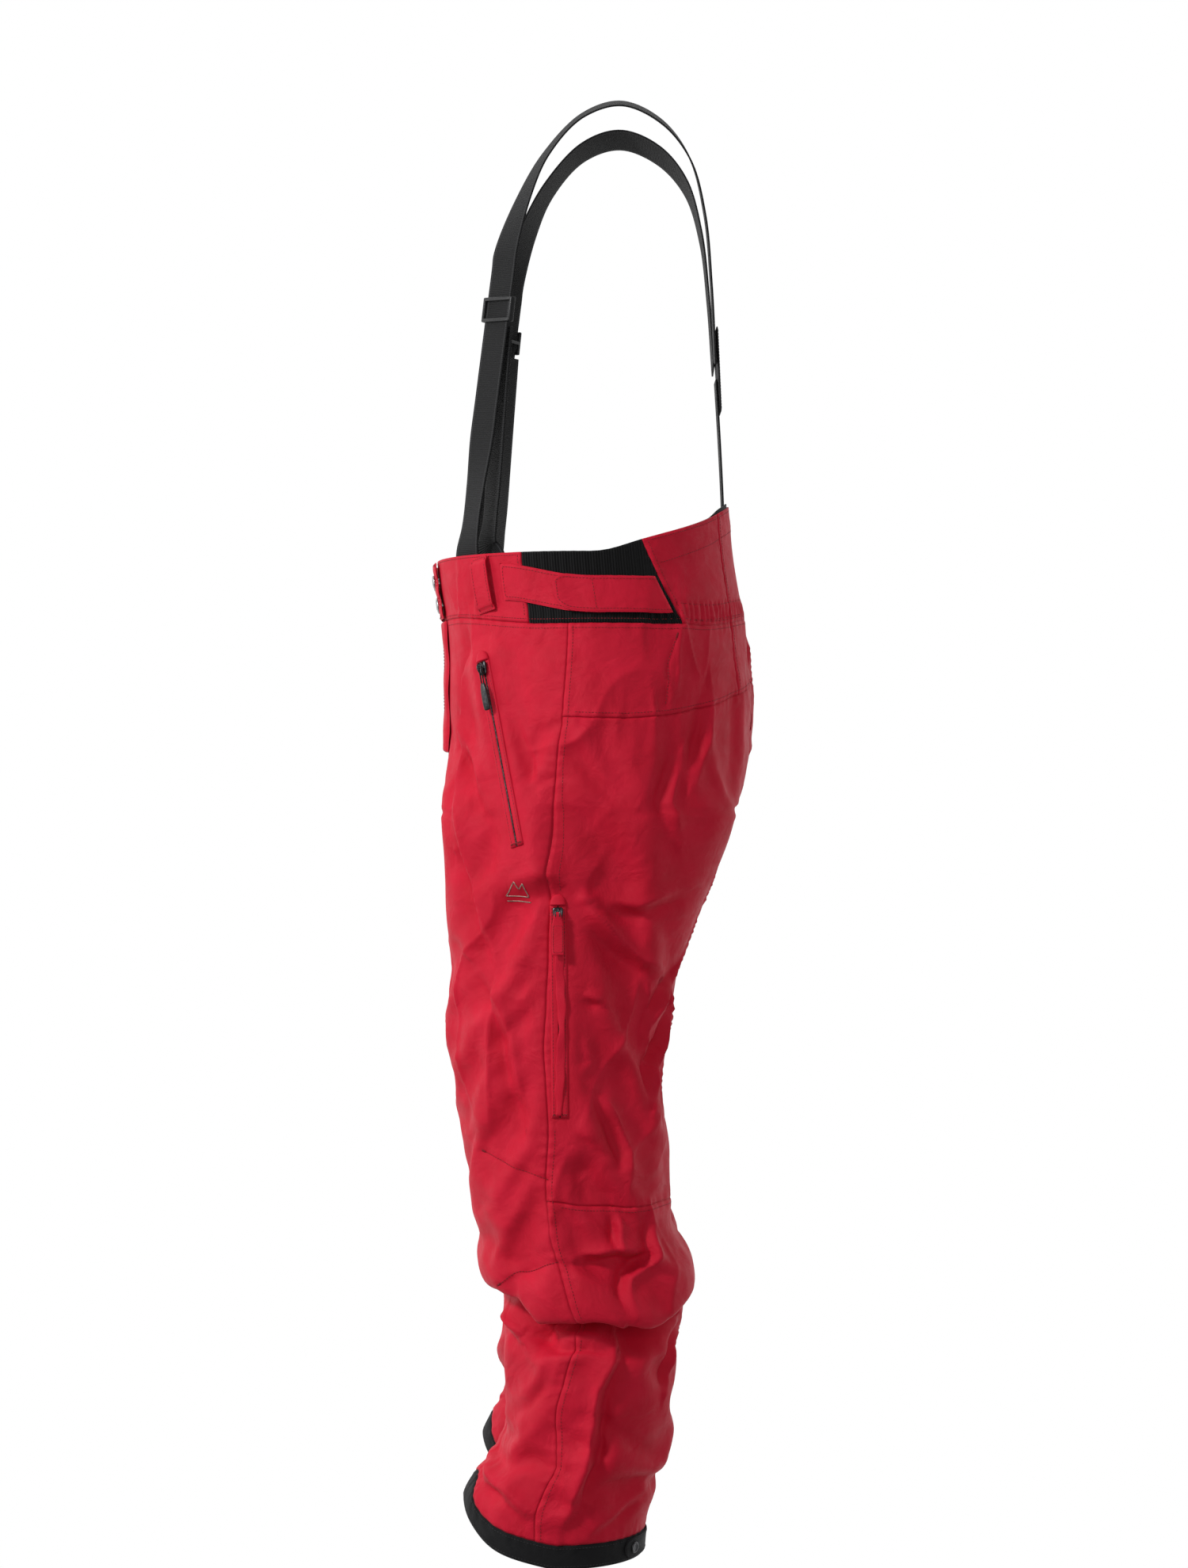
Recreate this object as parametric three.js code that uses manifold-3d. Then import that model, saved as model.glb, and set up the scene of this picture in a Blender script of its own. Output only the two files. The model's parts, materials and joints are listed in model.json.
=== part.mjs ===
// Ski pants with a high back, stretch side waist panels and webbing suspenders.
//
// Millimetres, +Z up. The wearer faces -Y and the wearer's left is +X. The origin
// is the centre of the waist, level with the top of the front waistband.
//
// Every cloth panel is a thin closed shell cut from one garment surface. A point of
// that surface has a height z and a place u around the left half: u = 0 is the
// centre front (the inseam below the crotch), 0.5 the side seam and 1 the centre
// back (the inseam again). The right half is its mirror image.

import * as THREE from 'three';
import { mergeVertices } from 'three/addons/utils/BufferGeometryUtils.js';
import Module from 'manifold-3d';

const wasm = await Module();
wasm.setup();

// ---------------------------------------------------------------- dimensions

// The garment's outline: [height, front y, back y, inner side x, outer side x].
// Above the crotch a section is one ellipse round both halves, so its inner side
// is minus its outer side. Between the hips and the crotch it parts into two legs.
const OUTLINE = [
  [-1040, -130, 58, 40, 199],
  [-971, -128, 68, 37, 200],
  [-928, -100, 77, 33, 200],
  [-867, -91, 87, 28, 201],
  [-790, -84, 90, 22, 204],
  [-743, -104, 106, 17, 207],
  [-682, -118, 91, 14, 207],
  [-600, -129, 82, 13, 204],
  [-517, -142, 76, 11, 198],
  [-415, -143, 94, 8, 193],
  [-330, -145, 130, 4, 190],
  [-265, -149, 153, 0.4, 190],
  [-254, -149, 156, -20, 190],
  [-238, -149, 160, -62, 190],
  [-213, -149, 166, -132, 190],
  [-187, -149, 172, -189, 189],
  [-144, -150.5, 175, -186, 186],
  [-64, -153, 168, -176, 176],
  [0, -162, 157, -166, 166],
  [70, -164, 152, -160, 160],
];

const CROTCH_Z = -265;
const SEAM_GAP = 0.8;            // between two panels along a seam
const HALF_GAP = SEAM_GAP / 2;
const SHELL_THICKNESS = 2.4;     // shell, insulation and lining, sewn together
const SIDE_SEAM_ANGLE = -12;     // degrees; the side seam sits forward of the middle

const HIGH_BACK_RISE = 61;       // centre back edge above the front edge
const WAIST_SEAM_Z = -62;
const YOKE_SIDE_Z = -170;
const YOKE_CENTER_Z = -122;
const KNEE_SEAM_Z = -658;
const HEM_Z = -1030;
const HEM_FRONT_RISE = 57;       // the hem arches over the boot's instep
const HEM_BAND_HEIGHT = 24;

const WEBBING_WIDTH = 40;
const WEBBING_THICKNESS = 2;

// Angles round the waist, in degrees from the side towards the back.
const STRETCH_FRONT_ANGLE = -27;
const STRETCH_BACK_ANGLE = 28;
const BACK_CENTER_ANGLE = 64;
const BELT_LOOP_ANGLE = -43;

// ----------------------------------------------------------------- materials

const MATERIALS = {
  shell: { color: 0xc8203a, roughness: 0.6, metalness: 0 },
  stretch: { color: 0x17171a, roughness: 0.85, metalness: 0 },
  binding: { color: 0x141416, roughness: 0.8, metalness: 0 },
  webbing: { color: 0x101012, roughness: 0.7, metalness: 0 },
  lining: { color: 0x2a2b30, roughness: 0.7, metalness: 0 },
  zip: { color: 0x1b1b1e, roughness: 0.5, metalness: 0 },
  plastic: { color: 0x0e0e10, roughness: 0.4, metalness: 0 },
  grip: { color: 0xa51a2e, roughness: 0.5, metalness: 0 },
  snap: { color: 0x8a8c90, roughness: 0.3, metalness: 1 },
};

const pants = new THREE.Group();

function addPart(name, material, geometry) {
  const mesh = new THREE.Mesh(geometry, new THREE.MeshStandardMaterial(MATERIALS[material]));
  mesh.name = name;
  pants.add(mesh);
  return mesh;
}

// ------------------------------------------------------ the garment's surface

const outline = new THREE.CubicInterpolant(
  OUTLINE.map((station) => station[0]),
  OUTLINE.flatMap((station) => station.slice(1)),
  4,
);

const radians = THREE.MathUtils.degToRad;
const sideSeam = radians(SIDE_SEAM_ANGLE);

// The ellipse round one half at height z, and the angle at which it ends: where it
// meets the middle plane above the crotch, and at the inseam below it.
function sectionAt(z) {
  const [front, back, inner, outer] = outline.evaluate(z);
  const centerX = (inner + outer) / 2;
  const radiusX = (outer - inner) / 2;
  const reach = THREE.MathUtils.clamp((centerX - HALF_GAP) / radiusX, 0, 1);
  return {
    centerX,
    radiusX,
    centerY: (front + back) / 2,
    radiusY: (back - front) / 2,
    endAngle: Math.acos(-reach),
  };
}

function surface(u, z) {
  const section = sectionAt(z);
  const angle = u < 0.5
    ? THREE.MathUtils.lerp(-section.endAngle, sideSeam, u * 2)
    : THREE.MathUtils.lerp(sideSeam, section.endAngle, u * 2 - 1);
  return new THREE.Vector3(
    section.centerX + section.radiusX * Math.cos(angle),
    section.centerY + section.radiusY * Math.sin(angle),
    z,
  );
}

// The place u of an angle round the waist, given in degrees.
function around(degrees) {
  const angle = radians(degrees);
  return angle < sideSeam
    ? (0.5 * (angle + Math.PI / 2)) / (sideSeam + Math.PI / 2)
    : 0.5 + (0.5 * (angle - sideSeam)) / (Math.PI / 2 - sideSeam);
}

function normalAt(u, z) {
  const step = 0.002;
  const across = surface(u + step, z).sub(surface(u - step, z));
  const up = surface(u, z + 1).sub(surface(u, z - 1));
  return across.cross(up).normalize();
}

// A surface point moved outwards by `proud` millimetres; side -1 is the right half.
function place(u, z, proud = 0, side = 1) {
  const point = surface(u, z).addScaledVector(normalAt(u, z), proud);
  point.x *= side;
  return point;
}

// ------------------------------------------------------------- solid builders

function solidFrom(positions, triangles) {
  const geometry = new THREE.BufferGeometry();
  geometry.setAttribute('position', new THREE.Float32BufferAttribute(positions, 3));
  geometry.setIndex(triangles);
  return geometry;
}

// A closed body between two grids of points. point(i, j, layer) gives a point of the
// outer grid (layer 0) or the inner one (layer 1). A ring joins its last column to
// its first.
function shellBody(columns, rows, point, { ring = false, flip = false } = {}) {
  const across = ring ? columns : columns + 1;
  const positions = [];
  for (let layer = 0; layer < 2; layer += 1) {
    for (let j = 0; j <= rows; j += 1) {
      for (let i = 0; i < across; i += 1) {
        positions.push(...point(i, j, layer).toArray());
      }
    }
  }
  const at = (i, j, layer) => (layer * (rows + 1) + j) * across + (i % across);
  const triangles = [];
  const quad = (a, b, c, d) => {
    triangles.push(...(flip ? [a, c, b, a, d, c] : [a, b, c, a, c, d]));
  };
  for (let i = 0; i < columns; i += 1) {
    for (let j = 0; j < rows; j += 1) {
      quad(at(i, j, 0), at(i + 1, j, 0), at(i + 1, j + 1, 0), at(i, j + 1, 0));
      quad(at(i, j, 1), at(i, j + 1, 1), at(i + 1, j + 1, 1), at(i + 1, j, 1));
    }
    quad(at(i, 0, 0), at(i, 0, 1), at(i + 1, 0, 1), at(i + 1, 0, 0));
    quad(at(i, rows, 0), at(i + 1, rows, 0), at(i + 1, rows, 1), at(i, rows, 1));
  }
  if (!ring) {
    for (let j = 0; j < rows; j += 1) {
      quad(at(0, j, 0), at(0, j + 1, 0), at(0, j + 1, 1), at(0, j, 1));
      quad(at(columns, j, 0), at(columns, j, 1), at(columns, j + 1, 1), at(columns, j + 1, 0));
    }
  }
  return solidFrom(positions, triangles);
}

// A panel of the garment from u0 to u1. `edges` lists heights, or functions of u
// that give heights, from the bottom up, and `rows` the steps between them.
function panel({ from, to, columns, edges, rows, side = 1, proud = 0,
  thickness = SHELL_THICKNESS, ring = false }) {
  const levels = [];
  for (let k = 0; k < rows.length; k += 1) {
    for (let step = 0; step < rows[k]; step += 1) {
      levels.push([k, step / rows[k]]);
    }
  }
  levels.push([rows.length - 1, 1]);
  const height = (edge, u) => (typeof edge === 'function' ? edge(u) : edge);
  const last = levels.length - 1;
  const point = (i, j, layer) => {
    const u = THREE.MathUtils.lerp(from, to, i / columns);
    const [k, part] = levels[j];
    let z = THREE.MathUtils.lerp(height(edges[k], Math.abs(u)), height(edges[k + 1], Math.abs(u)), part);
    z += j === 0 ? HALF_GAP : 0;
    z -= j === last ? HALF_GAP : 0;
    return panelPoint(u, z, proud - layer * thickness, side);
  };
  return shellBody(columns, last, point, { ring, flip: side < 0 });
}

// A place u below 0 continues across the centre front onto the other half, and one
// above 1 across the centre back.
function panelPoint(u, z, proud, side) {
  if (u < 0 && z > CROTCH_Z) {
    return place(-u, z, proud, -side);
  }
  if (u > 1 && z > CROTCH_Z) {
    return place(2 - u, z, proud, -side);
  }
  return place(u, z, proud, side);
}

function toManifold(geometry) {
  const bare = geometry.clone();
  bare.deleteAttribute('normal');
  bare.deleteAttribute('uv');
  const merged = mergeVertices(bare, 1e-4);
  return new wasm.Manifold(new wasm.Mesh({
    numProp: 3,
    vertProperties: new Float32Array(merged.attributes.position.array),
    triVerts: new Uint32Array(merged.index.array),
  }));
}

function union(geometries) {
  const joined = geometries.map(toManifold).reduce((sum, solid) => sum.add(solid));
  const mesh = joined.getMesh();
  return solidFrom(Array.from(mesh.vertProperties), Array.from(mesh.triVerts));
}

function boxBetween(low, high) {
  const size = high.map((value, axis) => value - low[axis]);
  const box = new THREE.BoxGeometry(...size);
  return box.translate(low[0] + size[0] / 2, low[1] + size[1] / 2, low[2] + size[2] / 2);
}

function outlineShape(points) {
  return new THREE.Shape(points.map(([x, y]) => new THREE.Vector2(x, y)));
}

// An outline in X and Y pulled along Z, centred on its length.
function extrude(shape, length) {
  const geometry = new THREE.ExtrudeGeometry(shape, {
    depth: length,
    bevelEnabled: false,
    curveSegments: 8,
  });
  return geometry.translate(0, 0, -length / 2);
}

// Turns and moves a mesh so that its X points outwards and its Z points up the run.
function setOn(mesh, position, up, outward) {
  const z = up.clone().normalize();
  const y = z.clone().cross(outward).normalize();
  const x = y.clone().cross(z);
  mesh.quaternion.setFromRotationMatrix(new THREE.Matrix4().makeBasis(x, y, z));
  mesh.position.copy(position);
  return mesh;
}

// A flat strap along a hand-laid route: each stop is [place, direction of its width].
function strap(route, steps, width = WEBBING_WIDTH, thickness = WEBBING_THICKNESS) {
  const path = new THREE.CatmullRomCurve3(route.map(([p]) => new THREE.Vector3(...p)));
  const widths = new THREE.CatmullRomCurve3(route.map(([, w]) => new THREE.Vector3(...w)));
  const corners = [[0.5, 0.5], [0.5, -0.5], [-0.5, -0.5], [-0.5, 0.5]];
  const positions = [];
  for (let step = 0; step <= steps; step += 1) {
    const center = path.getPoint(step / steps);
    const along = path.getTangent(step / steps);
    const face = widths.getPoint(step / steps).cross(along).normalize();
    const across = along.clone().cross(face);
    for (const [a, b] of corners) {
      const corner = center.clone().addScaledVector(across, a * width);
      positions.push(...corner.addScaledVector(face, b * thickness).toArray());
    }
  }
  const triangles = [0, 2, 1, 0, 3, 2];
  for (let step = 0; step < steps; step += 1) {
    for (let side = 0; side < 4; side += 1) {
      const a = step * 4 + side;
      const b = step * 4 + ((side + 1) % 4);
      triangles.push(a, b, b + 4, a, b + 4, a + 4);
    }
  }
  const end = steps * 4;
  triangles.push(end, end + 1, end + 2, end, end + 2, end + 3);
  return solidFrom(positions, triangles);
}

// The same route on the other side of the body, its strap turned face out again.
function mirrored(route) {
  return route.map(([p, w]) => [[-p[0], p[1], p[2]], [w[0], -w[1], -w[2]]]);
}

const BOTH_SIDES = [['l', 1], ['r', -1]];

// --------------------------------------------------------------- edges, seams

const smooth = THREE.MathUtils.smoothstep;

function topEdge(u) {
  return HIGH_BACK_RISE * smooth(u, 0.55, 1.02);
}

function yokeSeam(u) {
  return THREE.MathUtils.lerp(YOKE_SIDE_Z, YOKE_CENTER_Z, smooth(u, 0.6, 1.1));
}

// How far forward a place on the leg faces, from 0 at the sides and back to 1 at
// the middle of the shin.
function forwardness(u) {
  const angle = u < 0.5
    ? THREE.MathUtils.lerp(-Math.PI, sideSeam, u * 2)
    : THREE.MathUtils.lerp(sideSeam, Math.PI, u * 2 - 1);
  return Math.max(0, -Math.sin(angle));
}

// The hem climbs gently round the sides and then arches over the instep.
const HEM_SLOPE_SHARE = 0.35;
const HEM_ARCH_SHARPNESS = 6;

function hemEdge(u) {
  const forward = forwardness(u);
  const arch = forward ** HEM_ARCH_SHARPNESS;
  return HEM_Z + HEM_FRONT_RISE * (HEM_SLOPE_SHARE * forward + (1 - HEM_SLOPE_SHARE) * arch);
}

function hemBandTop(u) {
  return hemEdge(u) + HEM_BAND_HEIGHT;
}

// A panel's edge in u is set in from the seam by a hair, for the seam gap.
const SEAM_INSET = 0.0014;
const between = (from, to) => ({ from: from + SEAM_INSET, to: to - SEAM_INSET });

// --------------------------------------------------------------------- panels

const stretchFront = around(STRETCH_FRONT_ANGLE);
const stretchBack = around(STRETCH_BACK_ANGLE);
const backCenter = around(BACK_CENTER_ANGLE);
const FLY_HALF_GAP = 0.026;      // in u: the panels stand apart behind the fly flap
const FLY_BOTTOM_Z = -196;

// Heights of the panels' rows. Panels that share a seam share them too.
const SHIN_TOP_ROW = -900;
const SHIN_LEVELS = [
  hemBandTop,
  (u) => (hemBandTop(u) + SHIN_TOP_ROW) / 2,
  SHIN_TOP_ROW, -860, -822, -788, -764, -735, -700,
];
const THIGH_LEVELS = [
  KNEE_SEAM_Z, -600, -517, -430, -330, CROTCH_Z, -254, -238, -213, FLY_BOTTOM_Z,
];
const HIP_LEVELS = [YOKE_SIDE_Z, (YOKE_SIDE_Z + WAIST_SEAM_Z) / 2, WAIST_SEAM_Z];

for (const [suffix, side] of BOTH_SIDES) {
  // The front of the leg is one panel from the waist to the hem. Above the end of
  // the fly its centre edge stands back from the middle to make room for the zip.
  const frontColumns = 9;
  const frontLevels = [...SHIN_LEVELS, ...THIGH_LEVELS, ...HIP_LEVELS];
  const lastLevel = frontLevels.length - 1;
  const frontPoint = (i, j, layer) => {
    const level = frontLevels[j];
    const flyOpen = level >= FLY_BOTTOM_Z ? FLY_HALF_GAP : SEAM_INSET;
    const u = THREE.MathUtils.lerp(flyOpen, 0.5 - SEAM_INSET, i / frontColumns);
    let z = typeof level === 'function' ? level(u) : level;
    z += j === 0 ? HALF_GAP : 0;
    z -= j === lastLevel ? HALF_GAP : 0;
    return place(u, z, -layer * SHELL_THICKNESS, side);
  };
  addPart(`front_panel_${suffix}`, 'shell',
    shellBody(frontColumns, lastLevel, frontPoint, { flip: side < 0 }));

  const thighEdges = [...THIGH_LEVELS, yokeSeam];
  addPart(`back_thigh_${suffix}`, 'shell', panel({
    ...between(0.5, 1),
    columns: 9,
    edges: thighEdges,
    rows: thighEdges.slice(1).map(() => 1),
    side,
  }));
  const shinEdges = [...SHIN_LEVELS, KNEE_SEAM_Z];
  addPart(`back_shin_${suffix}`, 'shell', panel({
    ...between(0.5, 1),
    columns: 9,
    edges: shinEdges,
    rows: shinEdges.slice(1).map(() => 1),
    side,
  }));
  addPart(`hem_band_${suffix}`, 'binding', panel({
    from: 0,
    to: 1,
    columns: 18,
    edges: [hemEdge, hemBandTop],
    rows: [1],
    ring: true,
    side,
  }));
  addPart(`gaiter_${suffix}`, 'lining', panel({
    from: 0,
    to: 1,
    columns: 20,
    edges: [(u) => hemEdge(u) + 14, -900, -850],
    rows: [2, 1],
    ring: true,
    proud: -13,
    thickness: 1.6,
    side,
  }));
  addPart(`yoke_${suffix}`, 'shell', panel({
    ...between(0.5, backCenter),
    columns: 6,
    edges: [yokeSeam, WAIST_SEAM_Z],
    rows: [2],
    side,
  }));

  addPart(`waistband_front_${suffix}`, 'shell', panel({
    ...between(0, stretchFront),
    columns: 7,
    edges: [WAIST_SEAM_Z, topEdge],
    rows: [2],
    side,
  }));
  addPart(`waist_stretch_${suffix}`, 'stretch', panel({
    ...between(stretchFront, stretchBack),
    columns: 7,
    edges: [WAIST_SEAM_Z, topEdge],
    rows: [2],
    side,
  }));
  addPart(`back_waist_${suffix}`, 'shell', panel({
    ...between(stretchBack, backCenter),
    columns: 5,
    edges: [WAIST_SEAM_Z, topEdge],
    rows: [2],
    side,
  }));

  // The hand pocket's bag hangs flat behind the front panel.
  addPart(`pocket_bag_${suffix}`, 'lining', panel({
    from: 0.27,
    to: 0.47,
    columns: 4,
    edges: [-340, -280, -110],
    rows: [1, 2],
    proud: -SHELL_THICKNESS - 4.6,
    thickness: 3,
    side,
  }));
}

const mirroredTop = (edge) => (u) => edge(u > 1 ? 2 - u : u);
addPart('back_waist_center', 'shell', panel({
  ...between(backCenter, 2 - backCenter),
  columns: 6,
  edges: [WAIST_SEAM_Z, mirroredTop(topEdge)],
  rows: [2],
}));
addPart('yoke_center', 'shell', panel({
  ...between(backCenter, 2 - backCenter),
  columns: 6,
  edges: [mirroredTop(yokeSeam), WAIST_SEAM_Z],
  rows: [2],
}));

// ----------------------------------------------------------------------- zips

// A zip lies on the outside of a panel along a straight line, so its slider can run
// the whole way. X is outwards, Y across the tapes and Z up the zip.
const TAPE_THICKNESS = 1.4;
const COIL_WIDTH = 5;
const COIL_HEIGHT = 1.6;
const SLIDER_CLEARANCE = 0.35;
const SLIDER_TOP = TAPE_THICKNESS + COIL_HEIGHT + 2.2;
const PULL_PIN_X = SLIDER_TOP + 3;
const PULL_PIN_RADIUS = 0.9;

function zipChain(length, tapeWidth) {
  const t = TAPE_THICKNESS;
  const top = t + COIL_HEIGHT;
  const halfTape = tapeWidth / 2;
  const halfCoil = COIL_WIDTH / 2;
  return extrude(outlineShape([
    [0, -halfTape], [t, -halfTape], [t, -halfCoil], [top, -halfCoil],
    [top, halfCoil], [t, halfCoil], [t, halfTape], [0, halfTape],
  ]), length);
}

// The slider straddles the coil. Two ears on its back carry a pin for the pull.
function zipSlider(width, length) {
  const low = TAPE_THICKNESS + SLIDER_CLEARANCE;
  const roof = TAPE_THICKNESS + COIL_HEIGHT + SLIDER_CLEARANCE;
  const channel = COIL_WIDTH / 2 + SLIDER_CLEARANCE;
  const half = width / 2;
  const saddle = extrude(outlineShape([
    [low, -half], [SLIDER_TOP, -half], [SLIDER_TOP, half], [low, half],
    [low, channel], [roof, channel], [roof, -channel], [low, -channel],
  ]), length);
  const ears = [-1, 1].map((hand) => boxBetween(
    [SLIDER_TOP - 0.5, Math.min(hand * 1.7, hand * 2.9), -2],
    [PULL_PIN_X + 1.6, Math.max(hand * 1.7, hand * 2.9), 2],
  ));
  const pin = new THREE.CylinderGeometry(PULL_PIN_RADIUS, PULL_PIN_RADIUS, 4.6, 12);
  return union([saddle, ...ears, pin.translate(PULL_PIN_X, 0, 0)]);
}

// The pull hangs from its eye at the origin: a neck, then a flat grip.
function zipPull(neckLength, gripLength, gripWidth) {
  const eyeShape = new THREE.Shape();
  eyeShape.absarc(0, 0, 2.3, 0, Math.PI * 2);
  const hole = new THREE.Path();
  hole.absarc(0, 0, PULL_PIN_RADIUS + 0.4, 0, Math.PI * 2, true);
  eyeShape.holes.push(hole);
  const eye = extrude(eyeShape, 2.6).rotateX(Math.PI / 2);
  const neck = boxBetween([-0.9, -1.3, -2 - neckLength], [0.9, 1.3, -1.7]);
  const grip = boxBetween(
    [-1.4, -gripWidth / 2, -2 - neckLength - gripLength],
    [1.4, gripWidth / 2, -2 - neckLength + 0.5],
  );
  return union([eye, neck, grip]);
}

// Half the width of a zip, within which the surface must stay below its run.
const RUN_HALF_WIDTH = 12;
const RUN_SEARCH = 0.1;          // how far in u a zip can reach past its ends

// The straight line nearest outside the surface between two places [u, z].
function straightRun(top, bottom, side, proud) {
  const start = place(...bottom, 0, side);
  const end = place(...top, 0, side);
  const up = end.clone().sub(start).normalize();
  const middle = [(top[0] + bottom[0]) / 2, (top[1] + bottom[1]) / 2];
  const outward = place(...middle, 1, side).sub(place(...middle, 0, side));
  outward.addScaledVector(up, -outward.dot(up)).normalize();
  const across = up.clone().cross(outward);
  let highest = 0;
  for (let step = 0; step <= 20; step += 1) {
    const z = THREE.MathUtils.lerp(bottom[1], top[1], step / 20);
    for (let u = top[0] - RUN_SEARCH; u < bottom[0] + RUN_SEARCH; u += 0.01) {
      const offset = place(u, z, 0, side).sub(start);
      if (Math.abs(offset.dot(across)) < RUN_HALF_WIDTH) {
        highest = Math.max(highest, offset.dot(outward));
      }
    }
  }
  const lift = highest + proud;
  return {
    up,
    outward,
    length: start.distanceTo(end),
    at: (fraction) => start.clone().lerp(end, fraction).addScaledVector(outward, lift),
  };
}

function addZip(name, suffix, run, sizes) {
  setOn(addPart(`${name}_zip_${suffix}`, 'zip', zipChain(run.length, sizes.tape)),
    run.at(0.5), run.up, run.outward);
  const start = run.at(sizes.rest);
  setOn(addPart(`${name}_slider_${suffix}`, sizes.sliderMaterial, zipSlider(sizes.width, 14)),
    start, run.up, run.outward);
  const pin = start.clone().addScaledVector(run.outward, PULL_PIN_X);
  setOn(addPart(`${name}_pull_${suffix}`, sizes.pullMaterial,
    zipPull(sizes.neck, sizes.grip, sizes.gripWidth)), pin, run.up, run.outward);
}

const POCKET_ZIP = { top: [0.29, -112], bottom: [0.458, -302] };
const VENT_ZIP = { top: [0.513, -360], bottom: [0.531, -574] };

for (const [suffix, side] of BOTH_SIDES) {
  const pocket = straightRun(POCKET_ZIP.top, POCKET_ZIP.bottom, side, 0.7);
  addZip('pocket', suffix, pocket, {
    tape: 24, width: 11, neck: 18, grip: 26, gripWidth: 8, rest: 0.955,
    sliderMaterial: 'plastic', pullMaterial: 'grip',
  });
  const vent = straightRun(VENT_ZIP.top, VENT_ZIP.bottom, side, 0.7);
  addZip('vent', suffix, vent, {
    tape: 22, width: 11, neck: 6, grip: 34, gripWidth: 12, rest: 0.955,
    sliderMaterial: 'plastic', pullMaterial: 'grip',
  });
}

// ------------------------------------------------------------ fly and closure

// The fly zip runs behind the gap between the front panels, under a sewn flap.
const FLY_ZIP_LENGTH = 128;
const flyTop = surface(0, -66);
const flyBottom = surface(0, -66 - FLY_ZIP_LENGTH);
const flyUp = flyTop.clone().sub(flyBottom).normalize();
const flyOut = new THREE.Vector3(0, -1, 0);
const FLY_TAPE_DEPTH = SHELL_THICKNESS + TAPE_THICKNESS + 0.9;
const flyAt = (fraction) => flyBottom.clone().lerp(flyTop, fraction)
  .setX(0).addScaledVector(flyOut, -FLY_TAPE_DEPTH);

setOn(addPart('fly_zip', 'zip', zipChain(FLY_ZIP_LENGTH, 20)), flyAt(0.5), flyUp, flyOut);

const flySlider = union([
  extrude(outlineShape([
    [1.75, -4.5], [4.6, -4.5], [4.6, 4.5], [1.75, 4.5],
    [1.75, 2.85], [3.35, 2.85], [3.35, -2.85], [1.75, -2.85],
  ]), 12),
  boxBetween([4.3, -2.5, -22], [5.3, 2.5, 2]),
]);
setOn(addPart('fly_slider', 'snap', flySlider), flyAt(0.94), flyUp, flyOut);

addPart('fly_flap', 'shell', panel({
  from: -0.075,
  to: 0.075,
  columns: 6,
  edges: [FLY_BOTTOM_Z - 2, -150, -100, WAIST_SEAM_Z],
  rows: [1, 1, 1],
  proud: 5.2,
  thickness: 2.2,
}));

// The waistband closes with an overlap that two snaps hold.
const FLAP_PROUD = 5;
const FLAP_REACH = 0.082;
addPart('waist_flap', 'shell', panel({
  from: -FLAP_REACH,
  to: FLAP_REACH,
  columns: 6,
  edges: [WAIST_SEAM_Z + 1, -2],
  rows: [2],
  proud: FLAP_PROUD,
  thickness: 2,
}));

const SNAPS = [['upper', -22], ['lower', -46]];
const SNAP_U = 0.034;
for (const [name, z] of SNAPS) {
  const outward = normalAt(SNAP_U, z);
  const up = surface(SNAP_U, z + 1).sub(surface(SNAP_U, z - 1));
  const cap = new THREE.CylinderGeometry(7, 8.5, 2.6, 24).rotateZ(-Math.PI / 2);
  setOn(addPart(`snap_cap_${name}`, 'snap', cap), place(SNAP_U, z, FLAP_PROUD + 1.7), up, outward);
  const stud = new THREE.CylinderGeometry(4.5, 4.5, 2, 20).rotateZ(-Math.PI / 2);
  setOn(addPart(`snap_stud_${name}`, 'snap', stud), place(SNAP_U, z, 1.4), up, outward);
}

// ---------------------------------------------------- belt loops and adjusters

const LOOP_HEIGHT = 58;
const LOOP_WIDTH = 24;
const LOOP_GAP = 3;              // the sewn band lies almost flat until a belt lifts it
const LOOP_FABRIC = 2;
const ADJUSTER_HEIGHT = 38;

function beltLoop() {
  const half = LOOP_HEIGHT / 2;
  const outer = LOOP_GAP + LOOP_FABRIC;
  const bar = half - 4;
  return extrude(outlineShape([
    [0, -half], [outer, -half], [outer, half], [0, half],
    [0, bar], [LOOP_GAP, bar], [LOOP_GAP, -bar], [0, -bar],
  ]), LOOP_WIDTH).rotateX(Math.PI / 2);
}

// A rounded free end: the tab's half height narrows over its last stretch.
function roundedHalf(distance, half) {
  const inset = Math.max(0, half - distance);
  return Math.max(0.35 * half, Math.sqrt(half * half - inset * inset));
}

// A flat tab laid round the garment from its sewn end to its rounded free end.
function tab({ sewn, free, middle, height, proud, thickness, side, columns }) {
  const reach = place(sewn, middle(sewn)).distanceTo(place(free, middle(free)));
  const half = (u) => roundedHalf(reach * Math.abs((free - u) / (free - sewn)), height / 2);
  const spread = Math.min(sewn, free);
  return panel({
    from: spread,
    to: Math.max(sewn, free),
    columns,
    edges: [(u) => middle(u) - half(u), (u) => middle(u) + half(u)],
    rows: [1],
    proud,
    thickness,
    side,
  });
}

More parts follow.
